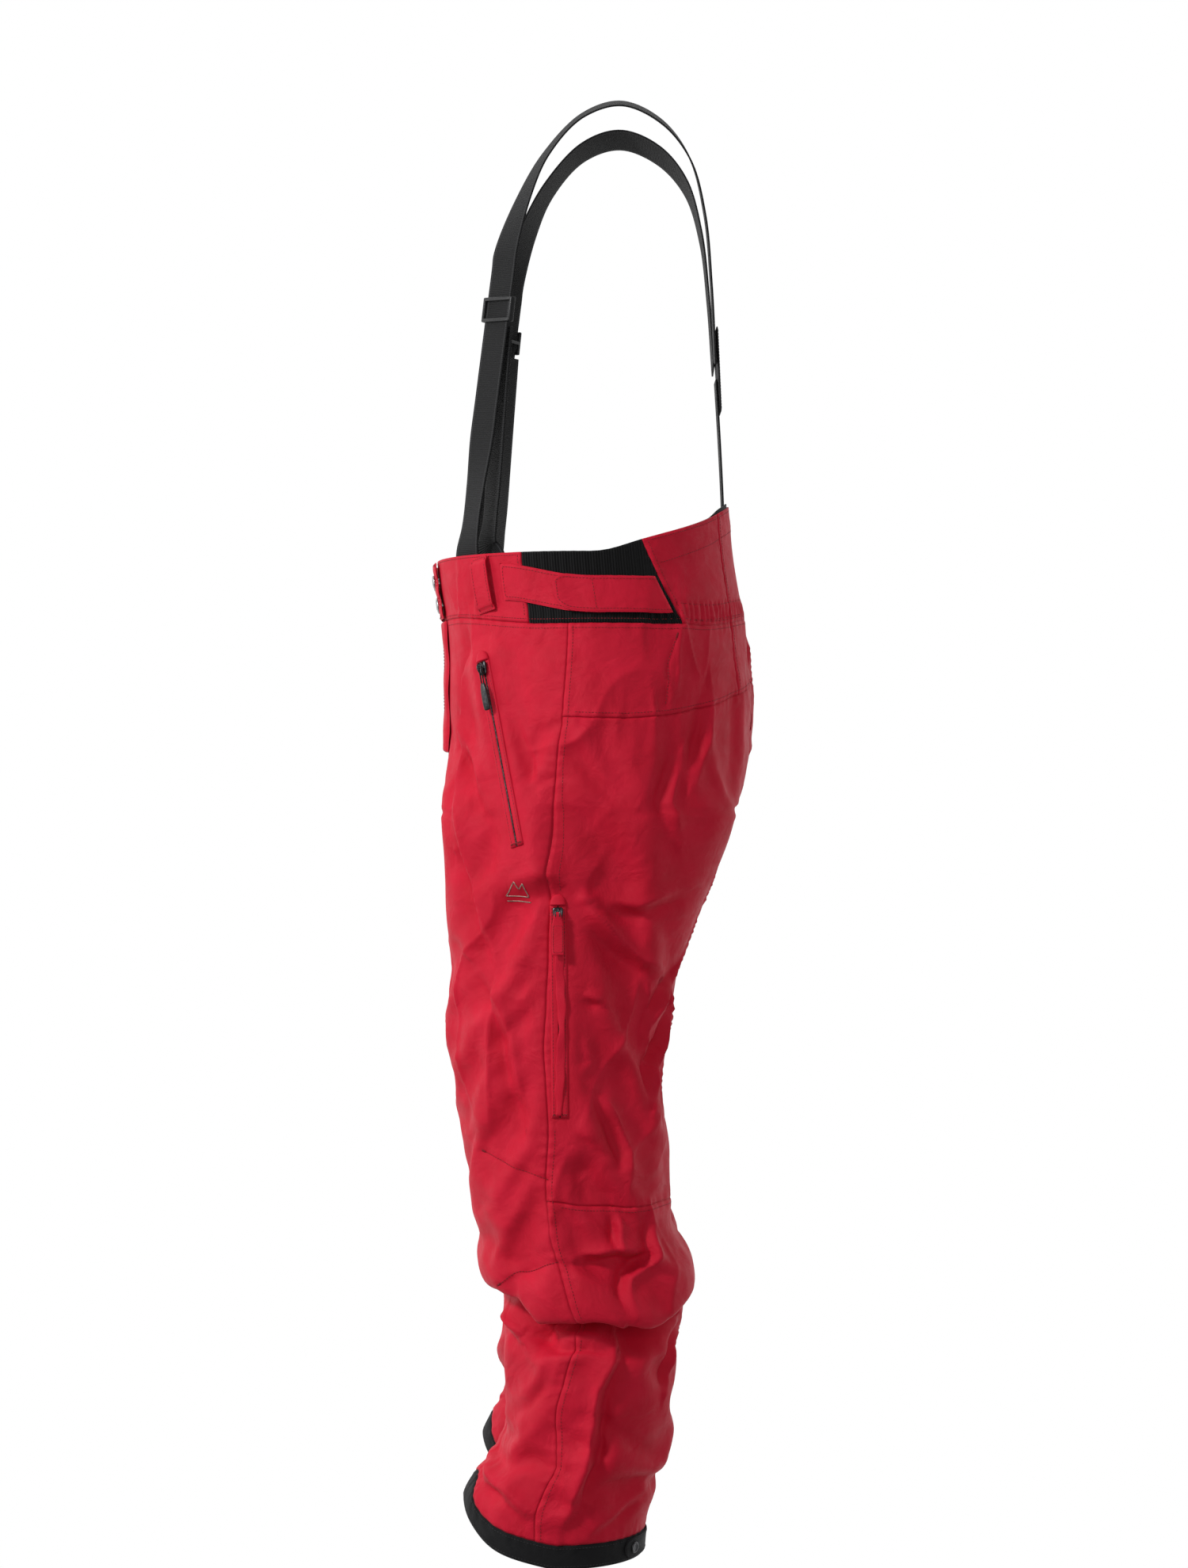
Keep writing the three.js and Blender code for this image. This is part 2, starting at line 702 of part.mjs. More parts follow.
for (const [suffix, side] of BOTH_SIDES) {
  const loopU = around(BELT_LOOP_ANGLE);
  const loopZ = -32;
  const up = place(loopU, loopZ + 10, 0, side).sub(place(loopU, loopZ - 10, 0, side));
  const outward = place(loopU, loopZ, 1, side).sub(place(loopU, loopZ, 0, side));
  setOn(addPart(`belt_loop_${suffix}`, 'shell', beltLoop()),
    place(loopU, loopZ, 0.6, side), up, outward);

  // The front half of the waist adjuster is sewn down across the stretch panel.
  const adjusterMiddle = (u) => THREE.MathUtils.lerp(-30, -45, smooth(u, 0.34, 0.56));
  addPart(`waist_strap_${suffix}`, 'shell', panel({
    from: around(-34),
    to: around(4),
    columns: 6,
    edges: [
      (u) => adjusterMiddle(u) - ADJUSTER_HEIGHT / 2,
      (u) => adjusterMiddle(u) + ADJUSTER_HEIGHT / 2,
    ],
    rows: [1],
    proud: 2.6,
    thickness: 2,
    side,
  }));
  // Its back half is sewn on behind and peels up from its rounded front end.
  addPart(`waist_tab_${suffix}`, 'shell', tab({
    sewn: around(26),
    free: around(-13),
    middle: adjusterMiddle,
    height: ADJUSTER_HEIGHT,
    proud: 5,
    thickness: 2,
    columns: 9,
    side,
  }));
  addPart(`hem_tab_${suffix}`, 'binding', tab({
    sewn: 0.79,
    free: 0.66,
    middle: (u) => hemEdge(u) + 13,
    height: 22,
    proud: 2.4,
    thickness: 1.8,
    columns: 6,
    side,
  }));

  // The gaiter's lace hook: a plate with a hook that faces down.
  const hookU = 0.25;
  const hookZ = hemEdge(hookU) + 32;
  const hookUp = place(hookU, hookZ + 8, 0, side).sub(place(hookU, hookZ - 8, 0, side));
  const hookOut = place(hookU, hookZ, 1, side).sub(place(hookU, hookZ, 0, side));
  const hook = union([
    boxBetween([0, -6, -8], [1.4, 6, 8]),
    boxBetween([1.1, -2.5, 2], [5.4, 2.5, 4]),
    boxBetween([4, -2.5, -4], [5.4, 2.5, 4]),
  ]);
  setOn(addPart(`gaiter_hook_${suffix}`, 'snap', hook),
    place(hookU, hookZ, -10.6, side), hookUp, hookOut);
}

// ----------------------------------------------------------------- suspenders

const CHEST_WIDTH = [0.766, 0.643, 0];
const SHOULDER_WIDTH = [0.94, 0, -0.34];
const BACK_WIDTH = [1, 0, -0.2];
const CHEST_SLOPE = 0.1285;      // the strap runs back as it climbs
const chestY = (z) => -126 + CHEST_SLOPE * z;

const STRAP_ROUTE = [
  [[99, chestY(4), 4], CHEST_WIDTH],
  [[99, chestY(80), 80], CHEST_WIDTH],
  [[99, chestY(160), 160], CHEST_WIDTH],
  [[99, chestY(240), 240], CHEST_WIDTH],
  [[99, chestY(300), 300], CHEST_WIDTH],
  [[99, chestY(318), 318], CHEST_WIDTH],
  [[94, -68, 372], [0.86, 0.4, -0.1]],
  [[89, -44, 421], [0.92, 0.15, -0.25]],
  [[85, -5, 463], SHOULDER_WIDTH],
  [[83, 36, 476], SHOULDER_WIDTH],
  [[78, 78, 458], SHOULDER_WIDTH],
  [[70, 108, 421], [0.96, 0, -0.28]],
  [[58, 124, 365], BACK_WIDTH],
  [[42, 131.5, 295], BACK_WIDTH],
  [[25, 136.5, 212], BACK_WIDTH],
];

// The webbing's end comes back up behind the strap to the adjuster.
const SLIDER_Z = 257;
const RETURN_ROUTE = [
  [[97, chestY(8) + 20, 8], CHEST_WIDTH],
  [[97, chestY(70) + 18, 70], CHEST_WIDTH],
  [[97, chestY(140) + 12, 140], CHEST_WIDTH],
  [[98, chestY(238) + 4.8, 238], CHEST_WIDTH],
];

// The adjuster's rails stand either side of the strap. Its outer bars cross in
// front of the strap and its middle bar behind. Y is across the strap.
function strapAdjuster() {
  const inner = WEBBING_WIDTH / 2 + 0.6;
  const outer = inner + 3.6;
  const face = WEBBING_THICKNESS / 2 + 0.4;
  const rails = [[-outer, -inner], [inner, outer]].map(([low, high]) => boxBetween(
    [-face - 2.2, low, -13], [face + 2.2, high, 13],
  ));
  const frontBars = [[-13, -9], [9, 13]].map(([low, high]) => boxBetween(
    [face, -outer, low], [face + 2.2, outer, high],
  ));
  const middleBar = boxBetween([-face - 2.2, -outer, -2], [-face, outer, 2]);
  return union([...rails, ...frontBars, middleBar]);
}

for (const [suffix, side] of BOTH_SIDES) {
  const onSide = (route) => (side > 0 ? route : mirrored(route));
  addPart(`strap_${suffix}`, 'webbing', strap(onSide(STRAP_ROUTE), 44));
  addPart(`strap_return_${suffix}`, 'webbing', strap(onSide(RETURN_ROUTE), 6));
  const up = new THREE.Vector3(0, CHEST_SLOPE, 1);
  const outward = new THREE.Vector3(CHEST_WIDTH[1] * side, -CHEST_WIDTH[0], 0);
  setOn(addPart(`strap_slider_${suffix}`, 'plastic', strapAdjuster()),
    new THREE.Vector3(99 * side, chestY(SLIDER_Z), SLIDER_Z), up, outward);
}

// Both straps end under a patch, where one strap goes down to the high back.
const patch = extrude(outlineShape([
  [-49, 44], [-22, -44], [22, -44], [49, 44],
]), 2).rotateX(Math.PI / 2);
setOn(addPart('back_patch', 'webbing', patch.rotateZ(-Math.PI / 2)),
  new THREE.Vector3(0, 140.2, 205), new THREE.Vector3(0, -0.06, 1), new THREE.Vector3(0, 1, 0));

const BACK_STRAP_ROUTE = [
  [[0, 138, 196], [1, 0, 0]],
  [[0, 142, 130], [1, 0, 0]],
  [[0, 145, 70], [1, 0, 0]],
  [[0, 146, 14], [1, 0, 0]],
];
addPart('back_strap', 'webbing', strap(BACK_STRAP_ROUTE, 6));

export default pants;
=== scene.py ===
# Looks for the ski pants. Metres, +Z up. The wearer faces -Y and the wearer's left
# is +X; the origin is the centre of the waist, level with its front edge.
#
# One garment surface is built as a grid of points for each half, settled by a cloth
# simulation, refined, folded by strokes, and then cut into the sewn panels.
# A point has a row (height) and a place u round the half: 0 is the centre front or
# the inseam, 0.5 the side seam and 1 the centre back or the inseam again.

import json
import math

import bmesh
import bpy
import numpy as np
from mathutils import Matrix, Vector


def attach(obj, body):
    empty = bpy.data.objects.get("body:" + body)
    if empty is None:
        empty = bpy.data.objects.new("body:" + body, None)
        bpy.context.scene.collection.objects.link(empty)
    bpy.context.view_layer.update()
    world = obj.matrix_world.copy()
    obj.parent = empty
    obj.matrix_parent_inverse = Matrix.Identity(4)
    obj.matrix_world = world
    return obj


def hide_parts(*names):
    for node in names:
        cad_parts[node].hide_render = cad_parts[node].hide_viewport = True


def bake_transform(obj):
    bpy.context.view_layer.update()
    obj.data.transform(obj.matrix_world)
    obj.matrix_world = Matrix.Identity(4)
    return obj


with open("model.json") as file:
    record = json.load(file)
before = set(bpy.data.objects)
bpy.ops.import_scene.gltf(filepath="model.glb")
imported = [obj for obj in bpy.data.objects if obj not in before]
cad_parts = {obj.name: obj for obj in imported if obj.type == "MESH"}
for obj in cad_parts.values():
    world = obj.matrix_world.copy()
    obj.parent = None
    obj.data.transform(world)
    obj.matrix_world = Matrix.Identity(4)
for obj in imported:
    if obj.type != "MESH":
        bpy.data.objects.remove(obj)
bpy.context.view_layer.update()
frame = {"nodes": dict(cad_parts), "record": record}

SIDES = (("l", 1), ("r", -1))
MIRROR = {side: np.array([side, 1, 1]) for _, side in SIDES}

# ------------------------------------------------------------------ camera, stage

CAMERA_DISTANCE = 3.0
CAMERA_HEIGHT = -0.238
CAMERA_FORWARD = 0.0068
FOCAL_MM = 63.83
SENSOR_MM = 36


def add_camera():
    data = bpy.data.cameras.new("camera")
    data.lens = FOCAL_MM
    data.sensor_width = SENSOR_MM
    camera = bpy.data.objects.new("camera", data)
    bpy.context.collection.objects.link(camera)
    camera.location = (CAMERA_DISTANCE, CAMERA_FORWARD, CAMERA_HEIGHT)
    camera.rotation_euler = (math.pi / 2, 0, math.pi / 2)
    bpy.context.scene.camera = camera


add_camera()

# -------------------------------------------------------------- garment dimensions

# [height, front y, back y, inner side x, outer side x]
OUTLINE = np.array([
    (-1.045, -0.130, 0.056, 0.040, 0.199),
    (-1.005, -0.130, 0.060, 0.039, 0.199),
    (-0.971, -0.128, 0.068, 0.037, 0.200),
    (-0.951, -0.116, 0.072, 0.035, 0.200),
    (-0.928, -0.098, 0.079, 0.033, 0.200),
    (-0.905, -0.092, 0.083, 0.031, 0.200),
    (-0.867, -0.090, 0.087, 0.028, 0.201),
    (-0.822, -0.086, 0.090, 0.025, 0.203),
    (-0.790, -0.084, 0.091, 0.022, 0.205),
    (-0.764, -0.094, 0.107, 0.018, 0.208),
    (-0.743, -0.104, 0.106, 0.017, 0.207),
    (-0.723, -0.110, 0.102, 0.016, 0.207),
    (-0.682, -0.118, 0.091, 0.014, 0.207),
    (-0.641, -0.124, 0.084, 0.013, 0.206),
    (-0.600, -0.129, 0.082, 0.013, 0.204),
    (-0.559, -0.136, 0.080, 0.012, 0.201),
    (-0.517, -0.142, 0.077, 0.011, 0.198),
    (-0.456, -0.144, 0.086, 0.009, 0.195),
    (-0.415, -0.143, 0.095, 0.008, 0.193),
    (-0.374, -0.145, 0.111, 0.006, 0.191),
    (-0.315, -0.146, 0.135, 0.004, 0.190),
    (-0.265, -0.149, 0.153, 0.0004, 0.190),
    (-0.254, -0.149, 0.156, -0.020, 0.190),
    (-0.238, -0.149, 0.161, -0.062, 0.190),
    (-0.213, -0.149, 0.167, -0.132, 0.190),
    (-0.187, -0.149, 0.173, -0.189, 0.189),
    (-0.144, -0.150, 0.175, -0.186, 0.186),
    (-0.101, -0.150, 0.171, -0.181, 0.181),
    (-0.064, -0.153, 0.168, -0.176, 0.176),
    (-0.030, -0.159, 0.162, -0.169, 0.169),
    (0.000, -0.162, 0.157, -0.166, 0.166),
    (0.070, -0.164, 0.151, -0.160, 0.160),
])

CROTCH_Z = -0.265
WAIST_SEAM_Z = -0.064
YOKE_SIDE_Z = -0.170
YOKE_CENTER_Z = -0.122
KNEE_SEAM_Z = -0.658
HEM_Z = -1.030
HEM_FRONT_RISE = 0.057
HEM_BAND = 0.024
HIGH_BACK_RISE = 0.061
HALF_GAP = 0.0004

# The side seam's angle, degrees from the side towards the back, by height.
SIDE_SEAM = np.array([
    (-1.030, -10), (-0.955, -13), (-0.874, -19), (-0.800, -10), (-0.769, -7),
    (-0.734, -12), (-0.658, -13), (-0.574, -7), (-0.460, -6), (-0.355, -10),
    (-0.240, -14), (-0.062, -10), (0.060, -8),
])


def hermite(t, span, start, end, start_slope, end_slope):
    """The cubic from start to end at the share t of a span."""
    return ((1 + 2 * t) * (1 - t) ** 2 * start + t * (1 - t) ** 2 * span * start_slope
            + t * t * (3 - 2 * t) * end + t * t * (t - 1) * span * end_slope)


def curve(table, z, column):
    """A smooth curve through one column of a table of heights."""
    x, y = table[:, 0], table[:, column]
    slope = np.gradient(y, x)
    k = np.clip(np.searchsorted(x, z) - 1, 0, len(x) - 2)
    span = x[k + 1] - x[k]
    t = np.clip((z - x[k]) / span, 0, 1)
    return hermite(t, span, y[k], y[k + 1], slope[k], slope[k + 1])


def smooth(value, low, high):
    """0 up to low, 1 from high, and a smooth step between."""
    t = np.clip((value - low) / (high - low), 0, 1)
    return t * t * (3 - 2 * t)


def surface(u, z):
    """Points of the left half's plain surface."""
    front, back = curve(OUTLINE, z, 1), curve(OUTLINE, z, 2)
    inner, outer = curve(OUTLINE, z, 3), curve(OUTLINE, z, 4)
    center_x, radius_x = (inner + outer) / 2, (outer - inner) / 2
    center_y, radius_y = (front + back) / 2, (back - front) / 2
    end = np.arccos(-np.clip((center_x - HALF_GAP) / radius_x, 0, 1))
    side = np.radians(curve(SIDE_SEAM, z, 1))
    angle = np.where(u < 0.5, -end + (side + end) * u * 2, side + (end - side) * (u * 2 - 1))
    x = center_x + radius_x * np.cos(angle)
    y = center_y + radius_y * np.sin(angle)
    return np.stack([x, y, z + 0 * u], axis=-1)


def forwardness(u):
    """How much the leg faces forward at u, from 0 to 1."""
    side = math.radians(-12)
    angle = np.where(u < 0.5, -np.pi + (side + np.pi) * u * 2, side + (np.pi - side) * (u * 2 - 1))
    return np.maximum(0, -np.sin(angle))


def hem_edge(u):
    forward = forwardness(u)
    return HEM_Z + HEM_FRONT_RISE * (0.35 * forward + 0.65 * forward ** 6)


def top_edge(u):
    return HIGH_BACK_RISE * smooth(u, 0.55, 1.02)


def yoke_seam(u):
    drop = YOKE_SIDE_Z + (YOKE_CENTER_Z - YOKE_SIDE_Z) * smooth(u, 0.6, 1.1)
    return np.where(u < 0.5, YOKE_SIDE_Z, drop)


def waist_seam(u):
    return WAIST_SEAM_Z - 0.010 * smooth(u, 0.15, 0.45) + 0.012 * smooth(u, 0.75, 1.0)


# ----------------------------------------------------------------- the base grid

HALF_COLUMNS = 42                # columns from the centre to the side seam
COLUMNS = 2 * HALF_COLUMNS
# Rows between the edges that run round the garment, from the hem up.
SECTIONS = [
    (hem_edge, 4),
    (lambda u: hem_edge(u) + HEM_BAND, 46),
    (lambda u: KNEE_SEAM_Z + 0 * u, 52),
    (lambda u: CROTCH_Z + 0 * u, 14),
    (yoke_seam, 14),
    (waist_seam, 10),
    (top_edge, 0),
]
BAND_ROW = 4
KNEE_ROW = BAND_ROW + 46
CROTCH_ROW = KNEE_ROW + 52
YOKE_ROW = CROTCH_ROW + 14
WAIST_ROW = YOKE_ROW + 14
TOP_ROW = WAIST_ROW + 10
STRETCH_FRONT = 34
STRETCH_BACK = 58
BACK_CENTER = 73


def base_grid():
    u = np.linspace(0, 1, COLUMNS + 1)
    rows = []
    for (edge, count), (above, _) in zip(SECTIONS, SECTIONS[1:]):
        low, high = edge(u), above(u)
        rows += [low + (high - low) * k / count for k in range(count)]
    rows.append(top_edge(u))
    z = np.array(rows)
    # The back panel's front edge leans: its columns move forward at the top edge.
    row = np.arange(len(z))
    lean = np.interp(row, [YOKE_ROW, WAIST_ROW, TOP_ROW], [0, 0.026, -0.035])
    column = np.arange(COLUMNS + 1)
    near = smooth(column, 45, STRETCH_BACK) * (1 - smooth(column, STRETCH_BACK, 72))
    return u + lean[:, None] * near, z


GRID_U, GRID_Z = base_grid()


def unit(vectors):
    return vectors / np.maximum(np.linalg.norm(vectors, axis=-1, keepdims=True), 1e-9)


def normals_of(points):
    """Outward unit normals of a half grid."""
    return unit(np.cross(np.gradient(points, axis=1), np.gradient(points, axis=0)))


def lengths_along(points, axis):
    """Each point's distance from the first one, along an axis of a grid or line."""
    steps = np.linalg.norm(np.diff(points, axis=axis), axis=-1)
    start = np.zeros_like(steps.take([0], axis))
    return np.concatenate([start, np.cumsum(steps, axis=axis)], axis=axis)


def arcs_of(points):
    """Distance along each row from the side seam, front negative."""
    s = lengths_along(points, 1)
    middle = s.shape[1] // 2
    return s - s[:, middle:middle + 1]


# ------------------------------------------------------------------------ folds

# Each fold: points (y, z) on the outer side in millimetres, width, ridge height on
# the left of its direction, valley depth on the right.
FOLDS = [
    ([(-19, -347), (4, -377), (29, -403), (54, -423), (74, -436)], 13, 7, 5),
    ([(-46, -353), (-21, -363), (-2, -358)], 7, 4, 4),
    ([(-136, -240), (-130, -309), (-117, -355), (-102, -397), (-94, -433)], 10, 4, 4),
    ([(-117, -423), (-97, -461), (-82, -498), (-72, -549), (-62, -582)], 12, 4, 5),
    ([(82, -470), (72, -508), (63, -529), (67, -564)], 10, 7, 6),
    ([(84, -436), (65, -473), (57, -492)], 10, 5, 5),
    ([(-6, -488), (-1, -519), (-11, -533)], 7, 4, 4),
    ([(6, -551), (24, -579), (37, -612), (39, -637)], 10, 5, 5),
    ([(-39, -584), (-11, -587), (9, -604)], 7, 3, 3),
    ([(-6, -453), (14, -461)], 7, 3, 3),
    ([(14, -362), (52, -367), (100, -349)], 12, 3, 4),
    ([(-8, -717), (12, -714), (34, -712), (62, -718)], 9, 6, 5),
    ([(28, -671), (30, -690), (34, -712)], 7, 4, 4),
    ([(64, -680), (69, -717), (41, -734), (38, -752), (46, -769)], 8, 6, 6),
    ([(-26, -1000), (-12, -971), (-2, -936), (12, -881), (15, -848), (31, -818), (28, -791)],
     10, 6, 6),
    ([(-60, -794), (-26, -803), (1, -801), (28, -809)], 7, 5, 5),
    ([(-84, -783), (-67, -807)], 9, 5, 4),
    ([(-10, -1010), (15, -990), (54, -965)], 9, 4, 4),
    ([(-113, -932), (-81, -958), (-48, -988)], 9, 5, 4),
    ([(88, -790), (86, -816), (78, -858)], 9, 4, 4),
    ([(-124, -66), (-122, -97), (-130, -126), (-132, -185), (-140, -300)], 13, 5, 5),
    ([(-118, -14), (-118, -58)], 7, 4, 4),
    ([(-137, -12), (-136, -58)], 7, 4, 3),
    ([(-120, -92), (-105, -143)], 10, 3, 4),
    ([(125, -140), (122, -185), (106, -234)], 13, 4, 5),
    ([(92, -209), (78, -258), (90, -295)], 12, 4, 4),
    ([(-76, -160), (-61, -197), (-51, -241)], 11, 3, 5),
    ([(-98, -87), (-88, -136), (-76, -168)], 10, 3, 3),
    ([(-134, -170), (-118, -222), (-91, -283)], 12, 4, 5),
]

FOLD_GAIN = 2.0

# The lip where the thigh's cloth stacks over the shin, from front to back.
LIP = [(-97, -735), (-81, -745), (-48, -766), (-21, -762), (12, -760), (61, -768),
       (83, -757), (106, -738)]


def locate(points, arcs, y, z):
    """The (arc, z) place of a point (y, z) of the outer side."""
    row = int(np.argmin(np.abs(points[:, points.shape[1] // 2, 2] - z)))
    ys = points[row, :, 1]
    first, last = int(np.argmin(ys)), int(np.argmax(ys))
    return np.interp(y, ys[first:last + 1], arcs[row, first:last + 1]), z


def measure_from(route, arcs, heights):
    """Distance to a route of (arc, z) places, positive on its left, and the share along it."""
    best = np.full(arcs.shape, 1e9)
    signed, along = np.zeros(arcs.shape), np.zeros(arcs.shape)
    lengths = [math.dist(a, b) for a, b in zip(route, route[1:])]
    total, passed = sum(lengths), 0.0
    for (a, b), length in zip(zip(route, route[1:]), lengths):
        dx, dz = b[0] - a[0], b[1] - a[1]
        t = np.clip(((arcs - a[0]) * dx + (heights - a[1]) * dz) / length ** 2, 0, 1)
        ox, oz = arcs - (a[0] + t * dx), heights - (a[1] + t * dz)
        d = np.hypot(ox, oz)
        closer = d < best
        best = np.where(closer, d, best)
        signed = np.where(closer, np.where(dx * oz - dz * ox > 0, d, -d), signed)
        along = np.where(closer, (passed + t * length) / total, along)
        passed += length
    return signed, along


def stroke(arcs, heights, route, width, ridge, valley):
    """A fold along a route: a ridge beside a valley."""
    signed, along = measure_from(route, arcs, heights)
    fade = np.sin(np.pi * np.clip(along, 0.04, 0.96)) ** 0.7
    up = np.exp(-1.3 * np.abs((signed - 0.5 * width) / width) ** 1.2)
    down = np.exp(-1.2 * np.abs((signed + 0.5 * width) / width) ** 1.4)
    return fade * (ridge * up - valley * down)


def value_noise(x, y, seed):
    """Smooth noise from -1 to 1 over a plane."""
    def corner(i, j):
        n = np.sin(i * 127.1 + j * 311.7 + seed * 74.7) * 43758.5453
        return 2 * (n - np.floor(n)) - 1
    i, j = np.floor(x), np.floor(y)
    fx, fy = x - i, y - j
    fx, fy = fx * fx * (3 - 2 * fx), fy * fy * (3 - 2 * fy)
    low = corner(i, j) * (1 - fx) + corner(i + 1, j) * fx
    high = corner(i, j + 1) * (1 - fx) + corner(i + 1, j + 1) * fx
    return low * (1 - fy) + high * fy


def calm_share(u, heights):
    """How freely the cloth may crease: little at the hem, the waistband and the fly."""
    fly = (1 - smooth(u, 0.05, 0.12)) * smooth(heights, -0.27, -0.21)
    edges = smooth(heights, -1.0, -0.96) * (1 - smooth(heights, -0.07, -0.03))
    return (0.25 + 0.75 * edges) * (1 - fly)


def hanging_half(side):
    """The half's coarse grid, uneven and stacked over the shin. side -1 varies it."""
    points = surface(GRID_U, GRID_Z)
    arcs = arcs_of(points)
    heights = points[:, :, 2]
    normal = normals_of(points)
    seed = 3 if side > 0 else 11
    press = 0.0035 * value_noise(arcs / 0.07, heights / 0.16, seed)
    press += 0.0016 * value_noise(arcs / 0.03, heights / 0.07, seed + 1)
    moved = points + normal * (calm_share(GRID_U, heights) * press)[..., None]
    return stack_knee(moved, arcs, heights, normal)


def fold_press(points, arcs, side):
    """How far each point of a fine grid moves out for the folds."""
    heights = points[:, :, 2]
    press = np.zeros(arcs.shape)
    for number, (route, width, ridge, valley) in enumerate(FOLDS):
        shift = (0, 0) if side > 0 else (6 * math.sin(number * 2.3), 9 * math.cos(number * 1.7))
        places = [locate(points, arcs, (y + shift[0]) / 1000, (z + shift[1]) / 1000)
                  for y, z in route]
        press += FOLD_GAIN * stroke(arcs, heights, places, width / 1000, ridge / 1000, valley / 1000)
    # Sharp little creases, mostly running up the leg.
    seed = 5 if side > 0 else 17
    bend = 0.8 * value_noise(arcs / 0.09, heights / 0.09, seed)
    line = value_noise(arcs / 0.075 + bend, heights / 0.15 + bend, seed + 1)
    patch = smooth(value_noise(arcs / 0.13, heights / 0.13, seed + 2), -0.3, 0.6)
    press += 0.0042 * patch * np.exp(-np.abs(line) / 0.09)
    return calm_share(FINE_U, heights) * press


def stack_knee(points, arcs, heights, normal):
    """Lets the thigh's cloth bulge out and hang over the top of the shin."""
    lip = np.array([locate(points, arcs, y / 1000, z / 1000) for y, z in LIP])
    above = heights - np.interp(arcs, lip[:, 0], lip[:, 1])
    around_leg = 0.35 + 0.65 * smooth(arcs, -0.19, -0.10) * (1 - smooth(arcs, 0.17, 0.26))
    bulge = np.exp(-((above - 0.012) / 0.022) ** 2) * (above > -0.04)
    tuck = np.exp(-((above + 0.022) / 0.014) ** 2)
    outside = np.exp(-((arcs - 0.01) / 0.09) ** 2)
    out = (0.003 + 0.006 * outside) * bulge - (0.022 + 0.022 * outside) * tuck
    drop = -(0.010 + 0.008 * outside) * np.exp(-((above - 0.004) / 0.014) ** 2)
    lift = 0.008 * np.exp(-((above + 0.024) / 0.012) ** 2)
    moved = points + normal * (around_leg * out)[..., None]
    moved[..., 2] += around_leg * (drop + lift)
    return moved


# ------------------------------------------------------------------ mesh basics


def add_object(name, vertices, faces, material, uvs=None):
    mesh = bpy.data.meshes.new(name)
    mesh.from_pydata(np.asarray(vertices, dtype=float).tolist(), [],
                     [tuple(int(i) for i in face) for face in faces])
    if uvs is not None:
        layer = mesh.uv_layers.new(name="UVMap")
        loops = np.empty(len(mesh.loops), dtype=np.int32)
        mesh.loops.foreach_get("vertex_index", loops)
        layer.data.foreach_set("uv", np.asarray(uvs, dtype=np.float32)[loops].ravel())
    mesh.materials.append(material)
    mesh.polygons.foreach_set("use_smooth", [True] * len(mesh.polygons))
    mesh.update()
    made = bpy.data.objects.new(name, mesh)
    bpy.context.collection.objects.link(made)
    return made


def grid_faces(rows, columns, flip=False, first=0):
    """The faces of a grid of points, numbered from `first`."""
    index = first + np.arange(rows * columns).reshape(rows, columns)
    a, b = index[:-1, :-1].ravel(), index[:-1, 1:].ravel()
    c, d = index[1:, 1:].ravel(), index[1:, :-1].ravel()
    return np.stack([a, d, c, b] if flip else [a, b, c, d], axis=1)


# --------------------------------------------------------------- grid refinement

def refine(points, factor, axis):
    """Smoothly resamples a grid along one axis by a whole factor."""
    points = np.moveaxis(points, axis, 0)
    first = 2 * points[0] - points[1]
    last = 2 * points[-1] - points[-2]
    padded = np.concatenate([first[None], points, last[None]])
    count = len(points) - 1
    result = np.empty((count * factor + 1,) + points.shape[1:])
    p0, p1, p2, p3 = padded[:-3], padded[1:-2], padded[2:-1], padded[3:]
    for k in range(factor):
        t = k / factor
        result[k:-1:factor] = 0.5 * (2 * p1 + (p2 - p0) * t + (2 * p0 - 5 * p1 + 4 * p2 - p3) * t ** 2
                                     + (3 * p1 - p0 - 3 * p2 + p3) * t ** 3)
    result[-1] = points[-1]
    return np.moveaxis(result, 0, axis)


FINE = 3


def fine_half(points):
    return refine(refine(points, FINE, 0), FINE, 1)


def right_leg_stance(points):
    """The right shin stands a little ahead of the left, and its hem rides up."""
    points = points.copy()
    down = -points[..., 2]
    points[..., 1] += -0.013 * smooth(down, 0.60, 0.85) + 0.024 * smooth(down, 0.86, 0.97)
    points[..., 2] += 0.012 * smooth(down, 0.75, 1.0)
    return points


def blurred(grid, passes):
    """A grid smoothed over its neighbours, its borders' values held."""
    for _ in range(passes):
        for axis in (0, 1):
            line = np.moveaxis(grid, axis, 0)
            padded = np.concatenate([line[:1], line, line[-1:]])
            line = (padded[:-2] + 2 * line + padded[2:]) / 4
            grid = np.moveaxis(line, 0, axis)
    return grid


HOLD = 0.12                      # how firmly the garment's form holds the free cloth
SPARE_CLOTH = 0.05               # the cut is this much larger than the form
SETTLE_FRAMES = 24
MAX_SETTLE = 0.009               # no point settles further than this


